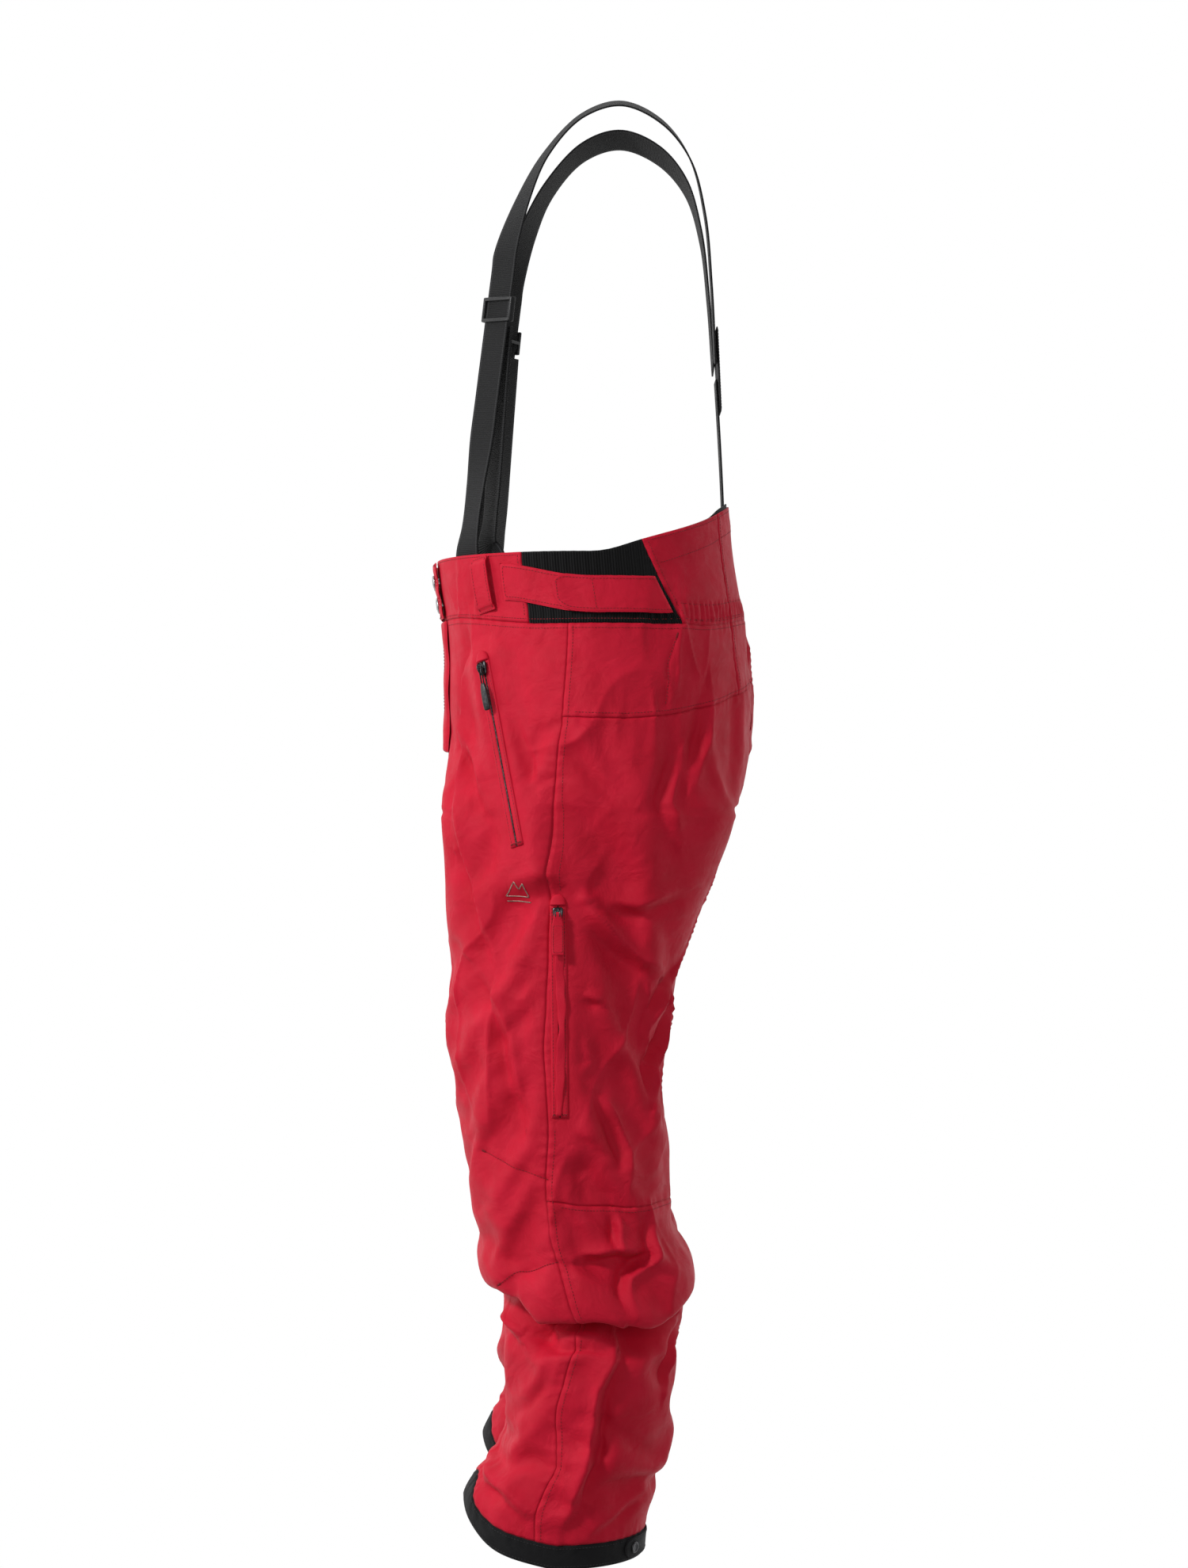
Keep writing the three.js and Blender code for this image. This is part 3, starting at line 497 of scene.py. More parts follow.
def settle(points):
    """Lets a half's cloth sink and buckle in a cloth simulation, held at its seams."""
    rows, columns = points.shape[:2]
    obj = add_object("drape", points.reshape(-1, 3), grid_faces(rows, columns), None)
    row = np.arange(rows)[:, None]
    column = np.arange(columns)[None, :]
    hold = np.full((rows, columns), HOLD)
    hold = np.maximum(hold, 1 - smooth(row, BAND_ROW, BAND_ROW + 5))
    hold = np.maximum(hold, smooth(row, YOKE_ROW - 8, WAIST_ROW - 3))
    hold = np.maximum(hold, 1 - smooth(column, 0, 3))
    hold = np.maximum(hold, (1 - smooth(column, 5, 10)) * smooth(row, CROTCH_ROW - 3, CROTCH_ROW + 3))
    hold = np.maximum(hold, smooth(column, COLUMNS - 3, COLUMNS))
    hold = np.maximum(hold, 0.6 * np.exp(-((column - HALF_COLUMNS) / 1.5) ** 2))
    group = obj.vertex_groups.new(name="held")
    for index, weight in enumerate(hold.ravel()):
        group.add([index], float(weight), "REPLACE")
    modifier = obj.modifiers.new("cloth", "CLOTH")
    settings = modifier.settings
    settings.quality = 5
    settings.mass = 0.12
    settings.tension_stiffness = 15
    settings.compression_stiffness = 15
    settings.shear_stiffness = 6
    settings.bending_stiffness = 0.8
    settings.vertex_group_mass = "held"
    settings.pin_stiffness = 1.0
    settings.shrink_min = -SPARE_CLOTH
    settings.effector_weights.gravity = 0.6
    modifier.collision_settings.use_collision = False
    modifier.collision_settings.use_self_collision = False
    modifier.point_cache.frame_end = SETTLE_FRAMES
    for number in range(1, SETTLE_FRAMES + 1):
        bpy.context.scene.frame_set(number)
    graph = bpy.context.evaluated_depsgraph_get()
    mesh = obj.evaluated_get(graph).data
    settled = np.empty(rows * columns * 3)
    mesh.vertices.foreach_get("co", settled)
    bpy.context.scene.frame_set(1)
    bpy.data.objects.remove(obj)
    moved = blurred(settled.reshape(points.shape) - points, 1)
    length = np.linalg.norm(moved, axis=-1, keepdims=True)
    return points + moved * np.minimum(1, MAX_SETTLE / np.maximum(length, 1e-9))


FINE_U = fine_half(GRID_U)
FINE_Z = fine_half(GRID_Z)
SIDE_COLUMN = HALF_COLUMNS * FINE
LAST_COLUMN = COLUMNS * FINE

# ------------------------------------------------------- straight runs of hardware


def node_points(name, side):
    """The points of a CAD piece, those of the right half mirrored to the left."""
    piece = frame["nodes"][name]
    return MIRROR[side] * np.array([piece.matrix_world @ vertex.co
                                    for vertex in piece.data.vertices])


class Run:
    """The frame of a straight CAD piece: X outwards, Y across and Z along it.

    rank says which of its axes Z is, from 1, the middle one, to 2, the longest.
    """

    def __init__(self, name, side=1, rank=2):
        points = np.unique(node_points(name, side).round(6), axis=0)
        _, vectors = np.linalg.eigh(np.cov((points - points.mean(axis=0)).T))
        along = vectors[:, rank] * np.sign(vectors[2, rank])
        out = vectors[:, 0]
        out = out * np.sign(out @ np.array([points[:, 0].mean(), points[:, 1].mean(), 0]))
        self.axes = np.array([out, np.cross(along, out), along])
        local = points @ self.axes.T
        low, high = local.min(axis=0), local.max(axis=0)
        self.center = ((low + high) / 2) @ self.axes
        self.half = (high - low) / 2

    def to_local(self, points):
        return (points - self.center) @ self.axes.T

    def to_world(self, points):
        return np.asarray(points, dtype=float) @ self.axes + self.center


ZIP_RUNS = {side: [Run(f"pocket_zip_{suffix}", side), Run(f"vent_zip_{suffix}", side)]
            for suffix, side in SIDES}


def lay_flat(points, run, half_width, reach):
    """Pulls the cloth flat under a zip, easing out to `reach` from its middle."""
    local = run.to_local(points)
    distance = np.abs(local[..., 1])
    # The slider's pull hangs below the zip when it is open, so the flat goes on there.
    beyond = np.maximum(np.maximum(local[..., 2] - run.half[2],
                                   -local[..., 2] - run.half[2] - 0.030), 0)
    weight = 1 - smooth(np.hypot(np.maximum(distance - half_width, 0), beyond), 0, reach)
    weight = np.where(np.abs(local[..., 0]) < 0.04, weight, 0)
    bed = -run.half[0] - 0.0004
    local[..., 0] += weight * (bed - local[..., 0])
    return run.to_world(local)


# ------------------------------------------------------------------- seam relief

# The knee's upper and lower darts and the seat's short seam: places (y, z) in mm on
# the outer side.
DARTS = [
    [(-106, -612), (-39, -637)],
    [(-92, -747), (-60, -732), (-30, -719)],
    [(92, -84), (82, -114), (80, -156)],
]
PUCKER_WAVE, PUCKER_DEPTH = 0.013, 0.00035


def find(points, normal, y, z):
    """The (row, column) of the outer side's point nearest to (y, z), in mm."""
    cost = np.hypot(points[..., 1] - y / 1000, points[..., 2] - z / 1000)
    row, column = divmod(int(np.argmin(cost + (normal[..., 0] < 0.1))), cost.shape[1])
    return row, column


def felled(distance):
    """A seam's cross-section: a groove with the turned cloth raised beside it."""
    ridge = smooth(distance, 0, 0.0016) * (1 - smooth(distance, 0.0065, 0.0095))
    return 0.0004 * ridge - 0.0005 * np.exp(-(distance / 0.0012) ** 2)


def pucker(distance, along):
    """The uneven little waves that a seam draws into the cloth."""
    wobble = np.sin(2 * np.pi * along / PUCKER_WAVE + 2.5 * np.sin(along * 61))
    return PUCKER_DEPTH * wobble * np.exp(-(distance / 0.009) ** 2)


def seam_relief(points, normal):
    """How far each point of a fine grid moves out for the seams and gathers."""
    arcs, rises = arcs_of(points), lengths_along(points, 0)
    press = np.zeros(arcs.shape)
    height = points[..., 2]

    def column_seam(column, rows, sign):
        distance = sign * (arcs - arcs[:, column:column + 1])
        inside = np.zeros(arcs.shape)
        inside[rows[0] * FINE:rows[1] * FINE + 1] = 1
        return inside * (felled(distance) + pucker(distance, height))

    def row_seam(row, columns, sign):
        distance = sign * (rises - rises[row * FINE])
        inside = np.zeros(arcs.shape)
        inside[:, columns[0] * FINE:columns[1] * FINE + 1] = 1
        return inside * (felled(distance) + pucker(distance, arcs))

    press += column_seam(SIDE_COLUMN, (BAND_ROW, WAIST_ROW), 1)
    press += column_seam(BACK_CENTER * FINE, (YOKE_ROW, TOP_ROW), 1)
    press += column_seam(STRETCH_FRONT * FINE, (WAIST_ROW, TOP_ROW), -1)
    press += column_seam(STRETCH_BACK * FINE, (WAIST_ROW, TOP_ROW), 1)
    press += column_seam(LAST_COLUMN, (BAND_ROW, CROTCH_ROW - 3), -1)
    press += row_seam(KNEE_ROW, (HALF_COLUMNS, COLUMNS), -1)
    press += row_seam(YOKE_ROW, (HALF_COLUMNS, COLUMNS), 1)
    press += row_seam(WAIST_ROW, (0, COLUMNS), 1)
    press += row_seam(BAND_ROW, (0, COLUMNS), 1)

    for route in DARTS:
        found = [find(points, normal, y, z) for y, z in route]
        press += dart_relief(arcs, height, [(arcs[spot], height[spot]) for spot in found])

    # The elastic in the back waist's casing gathers the cloth into small pleats.
    over = height - FINE_Z[WAIST_ROW * FINE]
    casing = smooth(over, 0.001, 0.005) * (1 - smooth(over, 0.020, 0.026))
    back = smooth(arcs, 0.055, 0.075) * (1 - smooth(FINE_U, 0.985, 1.0))
    gathers = np.abs(np.sin(np.pi * (arcs + 0.001 * np.sin(arcs * 230)) / 0.0085))
    press += 0.0022 * casing * back * (gathers - 0.6)
    lines = sum(np.exp(-((over - level) / 0.0016) ** 2) for level in (0.004, 0.022))
    press -= 0.0008 * back * lines

    # The stretch panel is gathered lightly by its elastic.
    stretch = smooth(FINE_U, 0.41, 0.43) * (1 - smooth(FINE_U, 0.66, 0.68)) * smooth(over, 0, 0.01)
    press += 0.0004 * stretch * np.sin(2 * np.pi * arcs / 0.0105)
    return press


def dart_relief(arcs, heights, places):
    """A short seam along a route of (arc, z) places."""
    signed, _ = measure_from(places, arcs, heights)
    ridge = smooth(signed, 0, 0.003) * (1 - smooth(signed, 0.007, 0.012))
    groove = np.exp(-(signed / 0.0020) ** 2)
    return (np.abs(signed) < 0.03) * (0.0006 * ridge - 0.0008 * groove)


def unsewn_half(side):
    """A half's fine grid, folded and flat under its zips, before the seams' relief."""
    points = fine_half(coarse[side])
    press = fold_press(points, arcs_of(points), side)
    points = points + normals_of(points) * press[..., None]
    for run in ZIP_RUNS[side]:
        points = lay_flat(points, run, 0.011, 0.030)
    return points


coarse = {1: settle(hanging_half(1)), -1: right_leg_stance(settle(hanging_half(-1)))}
unsewn = {side: unsewn_half(side) for side in (1, -1)}
unsewn_normal = {side: normals_of(points) for side, points in unsewn.items()}
fine = {side: unsewn[side] + unsewn_normal[side]
        * seam_relief(unsewn[side], unsewn_normal[side])[..., None] for side in (1, -1)}
# Above the crotch both halves come this near to the middle plane, at the same heights.
CENTRE_GAP = 0.0001
for edge in (0, LAST_COLUMN):
    middle = (fine[1][CROTCH_ROW * FINE:, edge] + fine[-1][CROTCH_ROW * FINE:, edge]) / 2
    middle[:, 0] = CENTRE_GAP
    for side in (1, -1):
        fine[side][CROTCH_ROW * FINE:, edge] = middle
fine_normal = {side: normals_of(points) for side, points in fine.items()}
fine_arc = {side: arcs_of(points) for side, points in fine.items()}


def lowest_nearby(grid, reach):
    """The least value of a grid within `reach` points of each point."""
    for axis in (0, 1):
        line = np.moveaxis(grid, axis, 0)
        padded = np.concatenate([line[:1]] * reach + [line] + [line[-1:]] * reach)
        line = np.min([padded[k:k + len(line)] for k in range(2 * reach + 1)], axis=0)
        grid = np.moveaxis(line, 0, axis)
    return grid


def backing_half(side):
    """A smooth surface just inside all of a half's creases, and its normals."""
    plain = fine_half(surface(GRID_U, GRID_Z))
    soft = plain + blurred(fine[side] - plain, 10)
    normal = normals_of(soft)
    offset = ((fine[side] - soft) * normal).sum(axis=-1)
    return soft + normal * blurred(lowest_nearby(offset, 5), 3)[..., None], normal


backing = {side: backing_half(side) for side in (1, -1)}

# --------------------------------------------------------- places on the garment


def sample(grid, row, column):
    """Values of a fine grid at fractional rows and columns."""
    row = np.clip(np.asarray(row, dtype=float), 0, grid.shape[0] - 1.001)
    column = np.clip(np.asarray(column, dtype=float), 0, grid.shape[1] - 1.001)
    i, j = row.astype(int), column.astype(int)
    fr, fc = (row - i)[..., None], (column - j)[..., None]
    if grid.ndim == 2:
        grid = grid[..., None]
    low = grid[i, j] * (1 - fc) + grid[i, j + 1] * fc
    high = grid[i + 1, j] * (1 - fc) + grid[i + 1, j + 1] * fc
    return low * (1 - fr) + high * fr


def place(side, row, column, proud=0.0, sewn=True):
    """World points over the garment; side -1 is the wearer's right.

    sewn says whether the seams' and gathers' relief counts.
    """
    points = sample((fine if sewn else unsewn)[side], row, column)
    normal = unit(sample((fine_normal if sewn else unsewn_normal)[side], row, column))
    return (points + normal * np.asarray(proud)[..., None]) * MIRROR[side]


def normal_at(side, row, column):
    return unit(sample(fine_normal[side], row, column)) * MIRROR[side]


def column_at(angle, z):
    """The fine column of an angle round the waist, degrees back from the side."""
    seam = float(curve(SIDE_SEAM, np.array([z]), 1)[0])
    if angle < seam:
        u = 0.5 * (angle + 90) / (seam + 90)
    else:
        u = 0.5 + 0.5 * (angle - seam) / (90 - seam)
    return u * LAST_COLUMN


def row_at(column, z):
    """The fine row at height z on a column."""
    column = int(round(np.clip(column, 0, LAST_COLUMN)))
    return np.interp(z, FINE_Z[:, column], np.arange(len(FINE_Z)))


def between(stops, count):
    """Each column of the stops, filled in with `count` values from stop to stop."""
    stops = np.array(stops, dtype=float)
    t = np.linspace(0, len(stops) - 1, count * (len(stops) - 1) + 1)
    return [np.interp(t, np.arange(len(stops)), column) for column in stops.T]


def evenly(points, step):
    """The distance along a line of points, and even marks about `step` apart."""
    s = lengths_along(points, 0)
    return s, np.linspace(0, s[-1], max(2, round(s[-1] / step)) + 1)


def at_marks(marks, s, vectors):
    return np.stack([np.interp(marks, s, column) for column in vectors.T], axis=1)


def trace(side, stops, step, proud=0.0, sewn=True):
    """World points and normals every `step` along stops (row, column)."""
    row, column, proud = between(np.column_stack([stops, np.broadcast_to(proud, len(stops))]), 80)
    points = place(side, row, column, proud, sewn)
    s, marks = evenly(points, step)
    return (at_marks(marks, s, points),
            normal_at(side, np.interp(marks, s, row), np.interp(marks, s, column)))


def stops_through(side, route):
    """Stops (row, column) through places (y, z) in mm of the outer side."""
    return [find(fine[side], fine_normal[side], y, z) for y, z in route]


# --------------------------------------------------------------------- materials


def new_material(name, **values):
    """A material, its node tree and shader. A value's _ stands for an input's space."""
    material = bpy.data.materials.new(name)
    material.use_nodes = True
    shader = material.node_tree.nodes["Principled BSDF"]
    for key, value in values.items():
        shader.inputs[key.replace("_", " ")].default_value = value
    return material, material.node_tree, shader


def node(tree, kind, **values):
    made = tree.nodes.new(kind)
    for key, value in values.items():
        if key in made.inputs:
            made.inputs[key].default_value = value
        else:
            setattr(made, key, value)
    return made


def math_node(tree, operation, a, b):
    made = node(tree, "ShaderNodeMath", operation=operation)
    for socket, value in zip(made.inputs, (a, b)):
        if isinstance(value, (int, float)):
            socket.default_value = value
        else:
            tree.links.new(value, socket)
    return made.outputs[0]


def bump(tree, shader, height, strength, distance, under=None):
    made = node(tree, "ShaderNodeBump", Strength=strength, Distance=distance)
    tree.links.new(height, made.inputs["Height"])
    if under is not None:
        tree.links.new(under, made.inputs["Normal"])
    tree.links.new(made.outputs["Normal"], shader.inputs["Normal"])
    return made.outputs["Normal"]


def noise(tree, vector, scale, detail=3.0, roughness=0.55, distortion=0.0):
    made = node(tree, "ShaderNodeTexNoise", Scale=scale, Detail=detail, Roughness=roughness,
                Distortion=distortion)
    tree.links.new(vector, made.inputs["Vector"])
    return made.outputs["Fac"]


def bands(tree, vector, direction, scale, distortion=0.0):
    made = node(tree, "ShaderNodeTexWave", Scale=scale, Distortion=distortion)
    made.bands_direction = direction
    tree.links.new(vector, made.inputs["Vector"])
    return made.outputs["Fac"]


def weave_height(tree, vector, scale):
    """Two crossed waves: threads over and under each other."""
    warp = bands(tree, vector, "X", scale, 0.6)
    weft = bands(tree, vector, "Y", scale, 0.6)
    return math_node(tree, "MULTIPLY", warp, weft)


def colour_ramp(tree, factor, dark, light, low=0.3, high=0.7):
    ramp = node(tree, "ShaderNodeValToRGB")
    ramp.color_ramp.elements[0].position = low
    ramp.color_ramp.elements[0].color = (*dark, 1)
    ramp.color_ramp.elements[1].position = high
    ramp.color_ramp.elements[1].color = (*light, 1)
    tree.links.new(factor, ramp.inputs["Fac"])
    return ramp.outputs["Color"]


def coordinates(tree, by_uv):
    """UVs in tens of centimetres, or the same scale from the object's own space."""
    if by_uv:
        return node(tree, "ShaderNodeUVMap", uv_map="UVMap").outputs["UV"]
    mapping = node(tree, "ShaderNodeMapping")
    mapping.inputs["Scale"].default_value = (10, 10, 10)
    source = node(tree, "ShaderNodeTexCoord")
    tree.links.new(source.outputs["Object"], mapping.inputs["Vector"])
    return mapping.outputs["Vector"]


def cloth_material(name, dark, light, roughness, sheen, weave_scale, weave_strength,
                   crease=0.0, by_uv=True):
    material, tree, shader = new_material(name, Roughness=roughness, Sheen_Weight=sheen,
                                          Sheen_Roughness=0.4, Specular_IOR_Level=0.16)
    vector = coordinates(tree, by_uv)
    cloud = noise(tree, vector, 2.2, 5.0, 0.62)
    tree.links.new(colour_ramp(tree, cloud, dark, light), shader.inputs["Base Color"])
    worn = colour_ramp(tree, noise(tree, vector, 7.0, 4.0), (roughness - 0.07,) * 3,
                       (roughness + 0.08,) * 3)
    tree.links.new(worn, shader.inputs["Roughness"])
    under = None
    if crease:
        # Soft rumples, from hand-sized down to the width of a finger.
        rumple = noise(tree, vector, 3.2, 3.0, 0.5, 0.6)
        under = bump(tree, shader, rumple, 1.0, crease)
    bump(tree, shader, weave_height(tree, vector, weave_scale), weave_strength, 0.0003, under)
    return material


NYLON = cloth_material("nylon_red", (0.56, 0.0055, 0.026), (0.65, 0.0085, 0.036), 0.58, 0.03,
                       90, 0.35, crease=0.0030)
NYLON_TRIM = cloth_material("nylon_red_trim", (0.57, 0.006, 0.027), (0.66, 0.009, 0.037), 0.58,
                            0.03, 90, 0.35, by_uv=False)
BINDING_LOOK = ((0.006, 0.006, 0.007), (0.013, 0.013, 0.014), 0.72, 0.10, 70, 0.5)
BINDING = cloth_material("binding_black", *BINDING_LOOK, crease=0.0015)
BINDING_TRIM = cloth_material("binding_black_trim", *BINDING_LOOK, by_uv=False)
LINING = cloth_material("lining_grey", (0.035, 0.033, 0.038), (0.060, 0.056, 0.062), 0.6, 0.1,
                        110, 0.3, crease=0.004)


def stretch_material():
    """A knitted black stretch cloth with fine upright ribs."""
    material, tree, shader = new_material("stretch_black", Roughness=0.82, Sheen_Weight=0.05,
                                          Specular_IOR_Level=0.18)
    vector = coordinates(tree, True)
    ribs = bands(tree, vector, "X", 11.0, 0.3)
    # The ribs also set the base colour: darker in the grooves between them, lighter on their crests.
    # The ribs are real; the darker grooves are painted shade.
    tree.links.new(colour_ramp(tree, ribs, (0.002, 0.002, 0.002), (0.006, 0.006, 0.0065)),
                   shader.inputs["Base Color"])
    under = bump(tree, shader, ribs, 0.8, 0.0010)
    bump(tree, shader, weave_height(tree, vector, 60), 0.4, 0.0003, under)
    return material


def webbing_material():
    """Woven webbing: close ribs across it, and a paler line inside each edge."""
    material, tree, shader = new_material("webbing_black", Roughness=0.66, Sheen_Weight=0.05,
                                          Specular_IOR_Level=0.22)
    vector = coordinates(tree, True)
    split = node(tree, "ShaderNodeSeparateXYZ")
    tree.links.new(vector, split.inputs[0])
    # U runs from 0 to 0.4 across a strap 40 mm wide.
    from_middle = math_node(tree, "ABSOLUTE", math_node(tree, "SUBTRACT", split.outputs[0], 0.2), 0)
    line = math_node(tree, "LESS_THAN",
                     math_node(tree, "ABSOLUTE", math_node(tree, "SUBTRACT", from_middle, 0.172), 0),
                     0.006)
    ribs = bands(tree, vector, "Y", 16.0, 0.4)
    # The ribs also set the base colour: darker in the grooves between them, lighter on their crests.
    # The ribs are real; the darker grooves are painted shade. The paler edge lines are the webbing's
    # own pattern.
    plain = colour_ramp(tree, ribs, (0.003, 0.003, 0.0034), (0.008, 0.008, 0.009))
    mix = node(tree, "ShaderNodeMix", data_type="RGBA")
    tree.links.new(line, mix.inputs["Factor"])
    tree.links.new(plain, mix.inputs[6])
    mix.inputs[7].default_value = (0.032, 0.032, 0.034, 1)
    tree.links.new(mix.outputs[2], shader.inputs["Base Color"])
    under = bump(tree, shader, ribs, 0.7, 0.0008)
    bump(tree, shader, bands(tree, vector, "X", 34.0, 0.4), 0.3, 0.0003, under)
    return material


def hard_material(name, colour, light, roughness, metallic, grain=0.0001):
    material, tree, shader = new_material(name, Roughness=roughness, Metallic=metallic, IOR=1.48)
    vector = coordinates(tree, False)
    wear = noise(tree, vector, 30.0, 6.0, 0.6)
    tree.links.new(colour_ramp(tree, wear, colour, light, 0.4, 0.72), shader.inputs["Base Color"])
    rough = colour_ramp(tree, noise(tree, vector, 55.0, 4.0), (roughness * 0.75,) * 3,
                        (min(1, roughness * 1.35),) * 3)
    tree.links.new(rough, shader.inputs["Roughness"])
    bump(tree, shader, noise(tree, vector, 160.0, 2.0), 0.5, grain)
    return material


STRETCH = stretch_material()
WEBBING = webbing_material()
THREAD_RED = hard_material("thread_red", (0.20, 0.003, 0.010), (0.32, 0.006, 0.016), 0.7, 0)
THREAD_BLACK = hard_material("thread_black", (0.012, 0.012, 0.013), (0.030, 0.030, 0.032), 0.7, 0)
TAPE = hard_material("zip_tape", (0.006, 0.006, 0.007), (0.016, 0.016, 0.017), 0.8, 0)
COIL = hard_material("zip_coil", (0.030, 0.028, 0.030), (0.16, 0.15, 0.15), 0.32, 0.6)
PLASTIC = hard_material("black_plastic", (0.008, 0.008, 0.009), (0.018, 0.018, 0.019), 0.38, 0)
GUNMETAL = hard_material("gunmetal", (0.035, 0.035, 0.038), (0.12, 0.12, 0.125), 0.3, 0.9)
CHROME = hard_material("snap_metal", (0.36, 0.36, 0.37), (0.62, 0.61, 0.60), 0.22, 1)
GRIP_MESH = hard_material("grip_mesh", (0.045, 0.045, 0.05), (0.13, 0.13, 0.135), 0.6, 0, 0.0004)
SILVER_PRINT = hard_material("silver_print", (0.30, 0.20, 0.17), (0.62, 0.50, 0.42), 0.3, 0.7)

SLOT_MATERIAL = {
    "shell": NYLON_TRIM, "stretch": STRETCH, "binding": BINDING_TRIM, "webbing": WEBBING,
    "lining": LINING, "zip_tape": TAPE, "black_plastic": PLASTIC, "pull_grip": PLASTIC,
    "snap_metal": CHROME,
}

# ----------------------------------------------------------------- mesh building


def finish_piece(obj, body, nodes=()):
    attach(obj, body)
    if nodes:
        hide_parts(*nodes)
    return obj


def apply_modifiers(obj):
    bpy.context.view_layer.update()
    graph = bpy.context.evaluated_depsgraph_get()
    mesh = bpy.data.meshes.new_from_object(obj.evaluated_get(graph))
    obj.modifiers.clear()
    obj.data = mesh


class Shells:
    """Closed shells collected into one mesh."""

    def __init__(self):
        self.vertices, self.faces, self.uvs = [], [], []

    def add(self, vertices, faces, uvs=None):
        base = len(self.vertices)
        self.vertices.extend(np.asarray(vertices, dtype=float).tolist())
        self.faces.extend([[i + base for i in face] for face in faces])
        flat = np.zeros((len(vertices), 2)) if uvs is None else uvs
        self.uvs.extend(np.asarray(flat, dtype=float).tolist())

    def mapped(self, function):
        """The same shells with every point passed through a function."""
        moved = Shells()
        moved.vertices = np.asarray(function(np.array(self.vertices))).tolist()
        moved.faces, moved.uvs = self.faces, self.uvs
        return moved

    def build(self, name, material, side=1):
        vertices = np.array(self.vertices) * MIRROR[side]
        faces = self.faces if side > 0 else [face[::-1] for face in self.faces]
        made = add_object(name, vertices, faces, material, np.array(self.uvs))
        turned = bmesh.new()
        turned.from_mesh(made.data)
        bmesh.ops.recalc_face_normals(turned, faces=turned.faces)
        turned.to_mesh(made.data)
        turned.free()
        return made


def build_on(run, side, shells, name, material, body, nodes=()):
    """Builds shells drawn in a run's frame as a piece of the left or the right half."""
    made = shells.mapped(run.to_world).build(name, material, side)
    return finish_piece(made, body, nodes)


def loft(shells, rings, uvs=None):
    """Joins rings of equal length. Seen from the end, each ring runs anticlockwise."""
    rings = [np.asarray(ring, dtype=float) for ring in rings]
    n = len(rings[0])
    faces = []
    for k in range(len(rings) - 1):
        for i in range(n):
            j = (i + 1) % n
            faces.append([k * n + i, k * n + j, (k + 1) * n + j, (k + 1) * n + i])
    faces.append(list(range(n))[::-1])
    faces.append([(len(rings) - 1) * n + i for i in range(n)])
    shells.add(np.concatenate(rings), faces, uvs)


def oval(center, across, up, a, b, power=2.6, count=14):
    """A superellipse ring: half widths a along `across` and b along `up`."""
    angle = np.arange(count) / count * 2 * np.pi
    c, s = np.cos(angle), np.sin(angle)
    x = a * np.sign(c) * np.abs(c) ** (2 / power)
    y = b * np.sign(s) * np.abs(s) ** (2 / power)
    return np.asarray(center) + x[:, None] * np.asarray(across) + y[:, None] * np.asarray(up)


def run_oval(x, z, wide, high, power, count):
    """A ring across a run's frame, `wide` to each side and `high` outwards."""
    return oval((x, 0, z), (0, 1, 0), (1, 0, 0), wide, high, power, count)


def rounded_bar(shells, start, end, across, a, b, edge=0.25):
    """A bar from start to end with soft ends. `across` is the direction of width a."""
    start, end = np.asarray(start, dtype=float), np.asarray(end, dtype=float)
    along, length = unit(end - start), np.linalg.norm(end - start)
    up = np.cross(along, across)
    cap = edge * min(a, b)
    loft(shells, [oval(start + along * offset, across, up, a * scale, b * scale, 3.5)
                  for offset, scale in ((0, 0.72), (cap * 0.4, 0.92), (cap, 1), (length - cap, 1),
                                        (length - cap * 0.4, 0.92), (length, 0.72))])


def tube(shells, points, radius, count=8):
    """A round tube along a line of points."""
    tangents = unit(np.gradient(np.asarray(points, dtype=float), axis=0))
    across = np.cross(tangents[0], (0.31, 0.52, 0.79))
    rings = []
    for point, tangent in zip(points, tangents):
        across = unit(across - tangent * (across @ tangent))
        rings.append(oval(point, across, np.cross(tangent, across), radius, radius, 2, count))
    loft(shells, rings)


def lathe(shells, profile, count=36, notch=None):
    """Turns a closed (radius, height) profile round the X axis, pointing out along X."""
    angle = np.arange(count) / count * 2 * np.pi
    rings = []
    for radius, height in profile:
        extra = 0 if notch is None else notch(radius, angle)
        rings.append(np.stack([height + extra + 0 * angle, radius * np.cos(angle),
                               radius * np.sin(angle)], axis=1))
    loft(shells, rings)


def band(shells, points, across, normals, width, thickness, turns=8):
    """A flat band with rounded edges along a line, UVs in tens of centimetres."""
    half, soft = width / 2, thickness / 2
    top = [(x, soft) for x in np.linspace(half - soft, -half + soft, turns)]
    edge = [(-half + soft * (1 - math.sin(a)), soft * math.cos(a))
            for a in np.linspace(0.3, math.pi - 0.3, 4)]
    section = np.array(top + edge)
    section = np.concatenate([section, -section])
    rings = (points[:, None] + section[None, :, :1] * unit(across)[:, None]
             + section[None, :, 1:] * normals[:, None])
    s = lengths_along(points, 0)
    uvs = np.stack([np.broadcast_to((section[:, 0] + half) * 10, rings.shape[:2]),
                    np.broadcast_to(s[:, None] * 10, rings.shape[:2])], axis=-1)
    loft(shells, rings, uvs.reshape(-1, 2))


def sheet_shell(shells, outer, inner, uvs):
    """A closed shell between two grids of points of the same shape."""
    rows, columns = outer.shape[:2]
    count = rows * columns
    index = np.arange(count).reshape(rows, columns)
    faces = grid_faces(rows, columns).tolist() + grid_faces(rows, columns, True, count).tolist()
    border = np.concatenate([index[0, :], index[1:, -1], index[-1, -2::-1],
                             index[-2:0:-1, 0]]).tolist()
    faces += [[i, i + count, j + count, j] for i, j in zip(border, border[1:] + border[:1])]
    shells.add(np.concatenate([outer.reshape(-1, 3), inner.reshape(-1, 3)]), faces,
               np.concatenate([uvs.reshape(-1, 2)] * 2))


